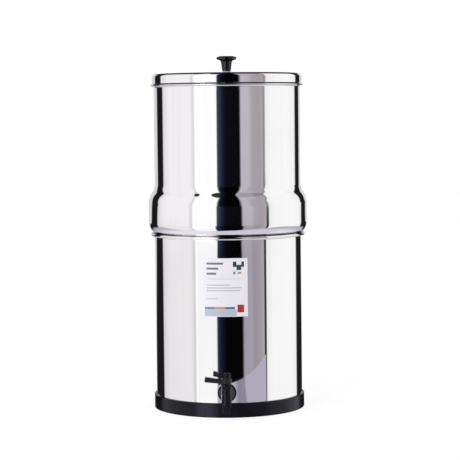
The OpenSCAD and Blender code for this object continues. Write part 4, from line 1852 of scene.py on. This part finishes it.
@dataclass
class Tap:
    """The tap: body, turning key with its lever, two gaskets and the back nut."""

    axis_y: float = -134.0
    inlet_z: float = 36.0
    wall: float = 108.0
    sheet: float = 0.8
    gasket_r: float = 13.5
    gasket_t: float = 3.0
    flange_r: float = 11.25
    flange_t: float = 3.5
    flange_dome: float = 1.1
    stem_r: float = 6.0
    shank_r: float = 7.75
    shank_in: float = -92.2
    inlet_r: float = 3.0
    spout_z: float = 10.5
    spout_r: float = 5.7
    spout_bore: float = 3.6
    foot_r: float = 7.4
    foot_z: float = 22.5
    neck_r: float = 6.8
    neck_z: float = 45.8
    collar_r: float = 7.5
    collar_z: float = 49.4
    top_z: float = 53.0
    bore: float = 4.65
    bore_z: float = 26.0
    groove_z: float = 46.0
    notch_h: float = 3.2
    notch_from: float = -67.0
    notch_sweep: float = 124.0
    dimple_r: float = 1.2
    dimple_z: float = 40.0
    cap_z: float = 53.3
    cap_h: float = 7.0
    cap_round: float = 1.2
    lever_length: float = 31.0
    lever_t: float = 5.7
    lever_root: float = 7.0
    lever_tip: float = 9.0
    lever_rise: float = 5.5
    lever_swell: float = 1.28
    lever_bite: float = 1.3
    lug_angle: float = -50.0
    lug_half: float = 15.0
    lug_h: float = 2.8
    nut_flats: float = 24.0
    nut_t: float = 8.0
    nut_y: float = -104.2
    snap: float = 0.3
    groove_h: float = 2.0
    notch_r: float = 12.0
    port: float = 2.7
    port_reach: float = 9.2
    face_reach: float = 6.9
    spout_round: float = 0.6
    collar_round: float = 0.4
    stem_fillet: float = 1.0
    flange_round: float = 0.6
    thread_depth: float = 0.7
    thread_root: float = 0.75
    thread_pitch: float = 1.9
    thread_turns: int = 5
    thread_lead: float = 0.6
    gasket_round: float = 0.7
    past_wall: float = 80.0

    def build(self) -> None:
        """Make all the tap's pieces."""
        self.body()
        self.key()
        self.outer_gasket()
        self.inner_gasket()
        nut = HexNut(self.nut_flats, self.nut_t, self.shank_r + FIT).build(
            "tap_back_nut_piece", (0.0, self.nut_y, self.inlet_z), Turn.LEVEL)
        dress(nut, TAP_PLASTIC, Body.BASE, ["tap_back_nut"])

    def barrel(self) -> bpy.types.Object:
        """The upright barrel, still solid.

        Returns:
            The barrel.
        """
        soft = self.spout_round
        profile = [(0.0, self.spout_z), (self.spout_r - soft, self.spout_z)]
        profile += arc(self.spout_r - soft, self.spout_z + soft, soft, -90, -9, 20)
        profile += [(self.foot_r - 0.12, self.foot_z - 0.8), (self.foot_r, self.foot_z + 0.6),
                    (self.neck_r, self.neck_z - 0.4), (self.neck_r + 0.1, self.neck_z + 0.3),
                    (self.collar_r - 0.1, self.collar_z - 0.3),
                    (self.collar_r, self.collar_z + 0.3)]
        profile += upper_corner(self.collar_r, self.top_z, self.collar_round)
        profile += [(0.0, self.top_z)]
        return spun("tap_body_piece", profile, 96, (0.0, self.axis_y, 0.0), closed=False)

    def shank(self) -> bpy.types.Object:
        """The level shank with its flange, from the barrel's axis inwards.

        Returns:
            The shank.
        """
        face = -(self.wall + self.gasket_t)
        front = face - self.flange_t
        inner = self.nut_y
        profile = [(0.0, self.axis_y), (self.stem_r, self.axis_y)]
        fillet, soft = self.stem_fillet, self.flange_round
        core, lead = self.shank_r - self.thread_root, self.thread_lead
        profile += arc(self.stem_r + fillet, front - fillet, fillet, 180, 90, 30)
        profile += arc(self.flange_r - soft, front + self.flange_dome + 0.5, soft, -74, 0, 18)
        profile += [(self.flange_r, face), (self.shank_r, face), (self.shank_r, inner),
                    (core, inner + lead), (core, self.shank_in - lead),
                    (self.shank_r - 1.3, self.shank_in), (0.0, self.shank_in)]
        return spun("shank", profile, 96, (0.0, 0.0, self.inlet_z), Turn.LEVEL, closed=False)

    def body(self) -> None:
        """Fuse barrel and shank, bore them and cut the notch for the lug."""
        body = self.barrel()
        shank = self.shank()
        thread = Thread(self.shank_r, self.thread_depth, self.thread_pitch, self.thread_turns, 48)
        thread.wind(shank, (0.0, self.nut_y + self.thread_lead, self.inlet_z), Turn.LEVEL)
        combine(body, shank, Join.FUSE)
        axis = (0.0, self.axis_y, 0.0)
        groove, groove_top = self.bore + self.snap, self.groove_z + self.groove_h
        past = self.top_z + OVERSHOOT
        cavity = [(0.0, 0.0), (self.spout_bore + 1.0, self.spout_z - 1.0),
                  (self.spout_bore + 0.8, self.spout_z + 0.1),
                  (self.spout_bore, self.spout_z + 0.9), (self.spout_bore, self.bore_z),
                  (self.bore, self.bore_z), (self.bore, self.groove_z), (groove, self.groove_z),
                  (groove, groove_top), (self.bore, groove_top), (self.bore, past),
                  (0.0, past)]
        combine(body, spun("cavity", cavity, 64, axis, closed=False), Join.CUT)
        low = self.top_z - self.notch_h
        notch = [(0.0, low), (self.notch_r, low), (self.notch_r, past), (0.0, past)]
        notch = spun("notch", notch, 48, axis, start=self.notch_from, sweep=self.notch_sweep)
        combine(body, notch, Join.CUT)
        combine(body, rod("inlet", self.inlet_r, self.axis_y, self.shank_in + OVERSHOOT,
                          (0.0, 0.0, self.inlet_z), Turn.LEVEL), Join.CUT)
        front = self.axis_y - self.face_reach
        pit = [(0.0, front + 0.5), (self.dimple_r - 0.3, front + 0.45),
               (self.dimple_r, front - 0.1), (self.dimple_r, front - 3.0), (0.0, front - 3.0)]
        combine(body, spun("pit", pit, 32, (0.0, 0.0, self.dimple_z), Turn.LEVEL, closed=False),
                Join.CUT)
        dress(body, TAP_PLASTIC, Body.BASE, ["tap_body"])

    def lever(self) -> bpy.types.Object:
        """The lever: a widening bar with a rounded tip, turned up a little.

        Returns:
            The lever.
        """
        reach = self.collar_r - self.lever_length
        deselect()
        bpy.ops.mesh.primitive_plane_add(size=MM, rotation=(0.0, -math.pi / 2, 0.0),
                                         location=(self.lever_bite * MM, 0.0,
                                                   self.lever_t / 2 * MM))
        lever = bpy.context.active_object
        lever.scale = (self.lever_t, self.lever_root, 1.0)
        settle(lever)
        with editing(lever):
            bpy.ops.mesh.select_all(action="SELECT")
            run = (reach - self.lever_bite) * MM
            bpy.ops.mesh.extrude_region_move(TRANSFORM_OT_translate={"value": (run, 0.0, 0.0)})
            bpy.ops.transform.resize(
                value=(1.0, self.lever_tip / self.lever_root, self.lever_swell),
                center_override=(0.0, 0.0, 0.0))
            clean_mesh()
            bpy.ops.mesh.select_mode(type="EDGE")
            bpy.ops.mesh.select_all(action="DESELECT")
            mesh = bmesh.from_edit_mesh(lever.data)
            for edge in mesh.edges:
                a, b = (vertex.co for vertex in edge.verts)
                at_tip = max(a.x, b.x) < (reach + 0.1) * MM
                edge.select_set(at_tip and abs(a.z - b.z) > MM)
            bmesh.update_edit_mesh(lever.data)
            bpy.ops.mesh.bevel(offset=self.lever_tip / 4 * MM, segments=8, affect="EDGES")
            bpy.ops.mesh.select_mode(type="VERT")
        soften(lever, 0.55, 3, sharper=40.0)
        lever.rotation_euler = (0.0, math.radians(self.lever_rise), 0.0)
        lever.location = Vector((-self.collar_r, self.axis_y, self.cap_z)) * MM
        settle(lever)
        return lever

    def key(self) -> None:
        """Spin the key with its cap and fuse the lever and the lug on."""
        axis = (0.0, self.axis_y, 0.0)
        shaft, low = self.bore - FIT, self.bore_z + 0.3
        ridge = self.groove_z + FIT
        crown = self.cap_z + self.cap_h
        profile = [(0.0, low), (shaft - 0.4, low), (shaft, low + 0.4), (shaft, ridge),
                   (shaft + self.snap, ridge + 0.2), (shaft + self.snap, ridge + 1.7),
                   (shaft, ridge + 1.9),
                   (shaft, self.cap_z), (self.collar_r - 0.3, self.cap_z),
                   (self.collar_r, self.cap_z + 0.3)]
        profile += upper_corner(self.collar_r, crown, self.cap_round, 15)
        profile += [(4.4, crown), (4.1, crown - 0.35), (0.0, crown - 0.35)]
        key = spun("tap_plug_piece", profile, 96, axis, closed=False)
        combine(key, self.lever(), Join.FUSE)
        lug = [(shaft - 0.2, self.cap_z - self.lug_h), (self.collar_r, self.cap_z - self.lug_h),
               (self.collar_r, self.cap_z + 0.4), (shaft - 0.2, self.cap_z + 0.4)]
        lug = spun("lug", lug, 12, axis, start=self.lug_angle - self.lug_half,
                   sweep=2 * self.lug_half)
        soften(lug, 0.3)
        combine(key, lug, Join.FUSE)
        port = self.port
        combine(key, rod("port", port, low - 1.0, self.inlet_z + port, axis), Join.CUT)
        side = rod("side", port, 0.0, self.port_reach, (0.0, self.axis_y, self.inlet_z),
                   Turn.LEVEL)
        side.data.transform(Matrix.Translation((0.0, self.axis_y * MM, 0.0))
                            @ Matrix.Rotation(-math.pi / 2, 4, "Z")
                            @ Matrix.Translation((0.0, -self.axis_y * MM, 0.0)))
        combine(key, side, Join.CUT)
        dress(key, KEY_PLASTIC, Body.KEY, ["tap_plug"])

    def outer_gasket(self) -> None:
        """The gasket outside the wall, shaped to it at the back."""
        face = -(self.wall + self.gasket_t)
        deep = face + OVERSHOOT
        profile = [(self.shank_r + FIT, face)] + lower_corner(
            self.gasket_r, face, self.gasket_round)
        profile += [(self.gasket_r, deep), (self.shank_r + FIT, deep)]
        gasket = spun("tap_outer_gasket_piece", distinct(profile), 96,
                      (0.0, 0.0, self.inlet_z), Turn.LEVEL)
        wall = rod("wall", self.wall, 0.0, self.past_wall, (0.0, 0.0, 0.0), steps=192)
        combine(gasket, wall, Join.CUT)
        dress(gasket, GASKET_RUBBER, Body.BASE, ["tap_outer_gasket"])

    def inner_gasket(self) -> None:
        """The gasket inside the wall."""
        inner = self.wall - self.sheet
        washer = Washer(self.gasket_r, self.shank_r + FIT, self.gasket_t)
        gasket = washer.build("tap_inner_gasket_piece", (0.0, -inner, self.inlet_z), Turn.LEVEL)
        wall = rod("wall", inner, 0.0, self.past_wall, (0.0, 0.0, 0.0), steps=192)
        combine(gasket, wall, Join.TRIM)
        dress(gasket, GASKET_RUBBER, Body.BASE, ["tap_inner_gasket"])


@dataclass
class Candle:
    """A filter candle with its mount, gasket and wing nut."""

    reach: float = 50.0
    deck_z: float = 243.3
    gasket_r: float = 15.0
    gasket_t: float = 3.0
    mount_r: float = 27.2
    mount_floor: float = 6.0
    cup: float = 8.0
    shell_r: float = 25.0
    shell_h: float = 160.0
    shell_wall: float = 7.0
    stem_r: float = 6.0
    stem_z: float = 226.5
    channel: float = 2.5
    nut_z: float = 232.5
    hub_r: float = 10.0
    hub_h: float = 10.0
    wing_reach: float = 22.0
    wing_h: float = 14.0
    wing_t: float = 3.0
    rib: float = 2.2
    thread_depth: float = 0.65
    thread_pitch: float = 1.75
    thread_turns: int = 8
    tip: float = 0.5
    shoulder: Point = (3.4, 2.8)
    cup_play: float = 0.2

    def build(self) -> None:
        """Make the left candle and copy it to the right."""
        left = (-self.reach, 0.0, 0.0)
        pieces = {
            "candle_shell": (self.shell(left), CERAMIC),
            "candle_mount": (self.mount(left), MOUNT_PLASTIC),
            "wing_nut": (self.wing_nut(left), MOUNT_PLASTIC),
            "candle_gasket": (Washer(self.gasket_r, self.stem_r + FIT, self.gasket_t).build(
                "gasket", (-self.reach, 0.0, self.deck_z)), SILICONE),
        }
        for part, (piece, finish) in pieces.items():
            piece.name = f"left_{part}_piece"
            twin = copied(piece, f"right_{part}_piece", (2 * self.reach, 0.0, 0.0))
            dress(piece, finish, Body.UPPER, [f"left_{part}"])
            dress(twin, finish, Body.UPPER, [f"right_{part}"])
        repaint(("left_candle_core", "right_candle_core"), CARBON)

    def shell(self, pivot: Place) -> bpy.types.Object:
        """The domed ceramic tube, standing at the pivot.

        Args:
            pivot: A point on its axis.

        Returns:
            The shell.
        """
        low = self.deck_z + self.gasket_t + self.mount_floor
        dome = low + self.shell_h - self.shell_r
        inner = self.shell_r - self.shell_wall
        profile = [(inner, low), (self.shell_r - 0.6, low), (self.shell_r, low + 0.6)]
        profile += arc(0.0, dome, self.shell_r, 0, 90, 5)
        profile += arc(0.0, dome, inner, 90, 0, 8)
        return spun("shell", eased(distinct(profile), 1.0, 20.0), 96, pivot)

    def mount(self, pivot: Place) -> bpy.types.Object:
        """The plastic cup with its threaded stem.

        Args:
            pivot: A point on its axis.

        Returns:
            The mount.
        """
        low = self.deck_z + self.gasket_t
        floor, top = low + self.mount_floor, low + self.mount_floor + self.cup
        cup_r, core = self.shell_r + self.cup_play, self.stem_r - 0.7
        start, end = self.shoulder
        profile = [(self.channel, self.stem_z), (core - self.tip, self.stem_z),
                   (core, self.stem_z + self.tip), (core, low - start), (self.stem_r, low - end),
                   (self.stem_r, low), (self.mount_r - 1.0, low)]
        profile += lower_corner(self.mount_r, low, 1.0)
        profile += upper_corner(self.mount_r, top, 0.5)
        profile += [(cup_r + 0.3, top), (cup_r, top - 0.3), (cup_r, floor),
                    (self.channel + 0.5, floor), (self.channel, floor - 0.5)]
        mount = spun("mount", distinct(profile), 128, pivot)
        thread = Thread(self.stem_r, self.thread_depth, self.thread_pitch, self.thread_turns)
        thread.wind(mount, (pivot[0], pivot[1], self.stem_z + 0.4))
        return mount

    def wing_nut(self, pivot: Place) -> bpy.types.Object:
        """The nut under the floor, with two wings.

        Args:
            pivot: A point on its axis.

        Returns:
            The nut.
        """
        top = self.nut_z + self.hub_h
        hub = [(0.0, self.nut_z), (self.hub_r - 0.8, self.nut_z)]
        hub += lower_corner(self.hub_r, self.nut_z, 0.8)
        hub += upper_corner(self.hub_r, top, 0.3, 45) + [(0.0, top)]
        nut = spun("wing_nut", distinct(hub), 96, pivot, closed=False)
        reach, low = self.wing_reach, self.hub_h - self.wing_h
        side = [(self.hub_r / 2, 0.0), (reach - 2 * self.rib, low), (reach, low),
                (reach, self.hub_h - 2 * self.rib), (reach - self.rib, self.hub_h - self.rib),
                (self.hub_r / 2, self.hub_h - self.rib)]
        outline = side + [(-x, z) for x, z in reversed(side)]
        wings = slab("wings", outline, self.wing_t, (pivot[0], pivot[1], self.nut_z))
        soften(wings, 0.9, 3)
        combine(nut, wings, Join.FUSE)
        hole = [(0.0, self.nut_z - 1.0), (self.stem_r + 1.0, self.nut_z - 1.0),
                (self.stem_r + 0.8, self.nut_z - 0.05), (self.stem_r + FIT, self.nut_z + 0.7),
                (self.stem_r + FIT, top + 1.0), (0.0, top + 1.0)]
        combine(nut, spun("hole", hole, 48, pivot, closed=False), Join.CUT)
        return nut


@dataclass
class BlankingPlugs:
    """The plugs in the two unused holes, each with a gasket and a nut."""

    reach: float = 50.0
    deck_z: float = 243.3
    head_r: float = 13.0
    head_h: float = 4.0
    gasket_t: float = 3.0
    stem_r: float = 6.0
    stem_z: float = 228.5
    nut_z: float = 234.5
    slot_w: float = 2.4
    slot_depth: float = 1.6
    nut_flats: float = 22.0
    nut_t: float = 8.0
    thread_depth: float = 0.65
    thread_pitch: float = 1.75
    thread_turns: int = 7
    tip: float = 0.6
    shoulder: Point = (3.4, 2.8)
    head_round: float = 1.2

    def build(self) -> None:
        """Make the front set and copy it to the back."""
        front = (0.0, -self.reach, 0.0)
        pieces = {
            "blanking_plugs": (self.plug(front), PLUG_PLASTIC),
            "plug_gaskets": (Washer(self.head_r, self.stem_r + FIT, self.gasket_t).build(
                "gasket", (0.0, -self.reach, self.deck_z)), SILICONE),
            "plug_nuts": (HexNut(self.nut_flats, self.nut_t, self.stem_r + FIT).build(
                "nut", (0.0, -self.reach, self.nut_z)), PLUG_PLASTIC),
        }
        for node, (piece, finish) in pieces.items():
            piece.name = f"{node}_front"
            twin = copied(piece, f"{node}_back", (0.0, 2 * self.reach, 0.0))
            for part in (piece, twin):
                dress(part, finish, Body.UPPER, [node])

    def plug(self, pivot: Place) -> bpy.types.Object:
        """A round-headed plug with a coin slot and a threaded stem.

        Args:
            pivot: A point on its axis.

        Returns:
            The plug.
        """
        low = self.deck_z + self.gasket_t
        top = low + self.head_h
        core = self.stem_r - 0.7
        start, end = self.shoulder
        profile = [(0.0, self.stem_z), (core - self.tip, self.stem_z),
                   (core, self.stem_z + self.tip), (core, low - start),
                   (self.stem_r, low - end), (self.stem_r, low),
                   (self.head_r - 0.4, low), (self.head_r, low + 0.4)]
        profile += upper_corner(self.head_r, top, self.head_round, 15) + [(0.0, top)]
        plug = spun("plug", distinct(profile), 96, pivot, closed=False)
        thread = Thread(self.stem_r, self.thread_depth, self.thread_pitch, self.thread_turns)
        thread.wind(plug, (pivot[0], pivot[1], self.stem_z + 0.5))
        slot = slab("slot", [(-8.0, 0.0), (8.0, 0.0), (8.0, 4.0), (-8.0, 4.0)], self.slot_w,
                    (pivot[0], pivot[1], top - self.slot_depth))
        soften(slot, 0.8, 3, Vector((0.0, 0.0, 1.0)))
        combine(plug, slot, Join.CUT)
        return plug


def main() -> None:
    """Build the studio and every sub-assembly."""
    logging.basicConfig(level=logging.INFO, format="%(name)s: %(message)s")
    Studio().build()
    assemblies = (BaseRing(), LowerVessel(), Tap(), UpperVessel(), Candle(), BlankingPlugs(),
                  Lid(), Knob())
    for assembly in assemblies:
        assembly.build()
        LOG.info("%s done", type(assembly).__name__)
    deselect()


if __name__ == "__main__":
    main()
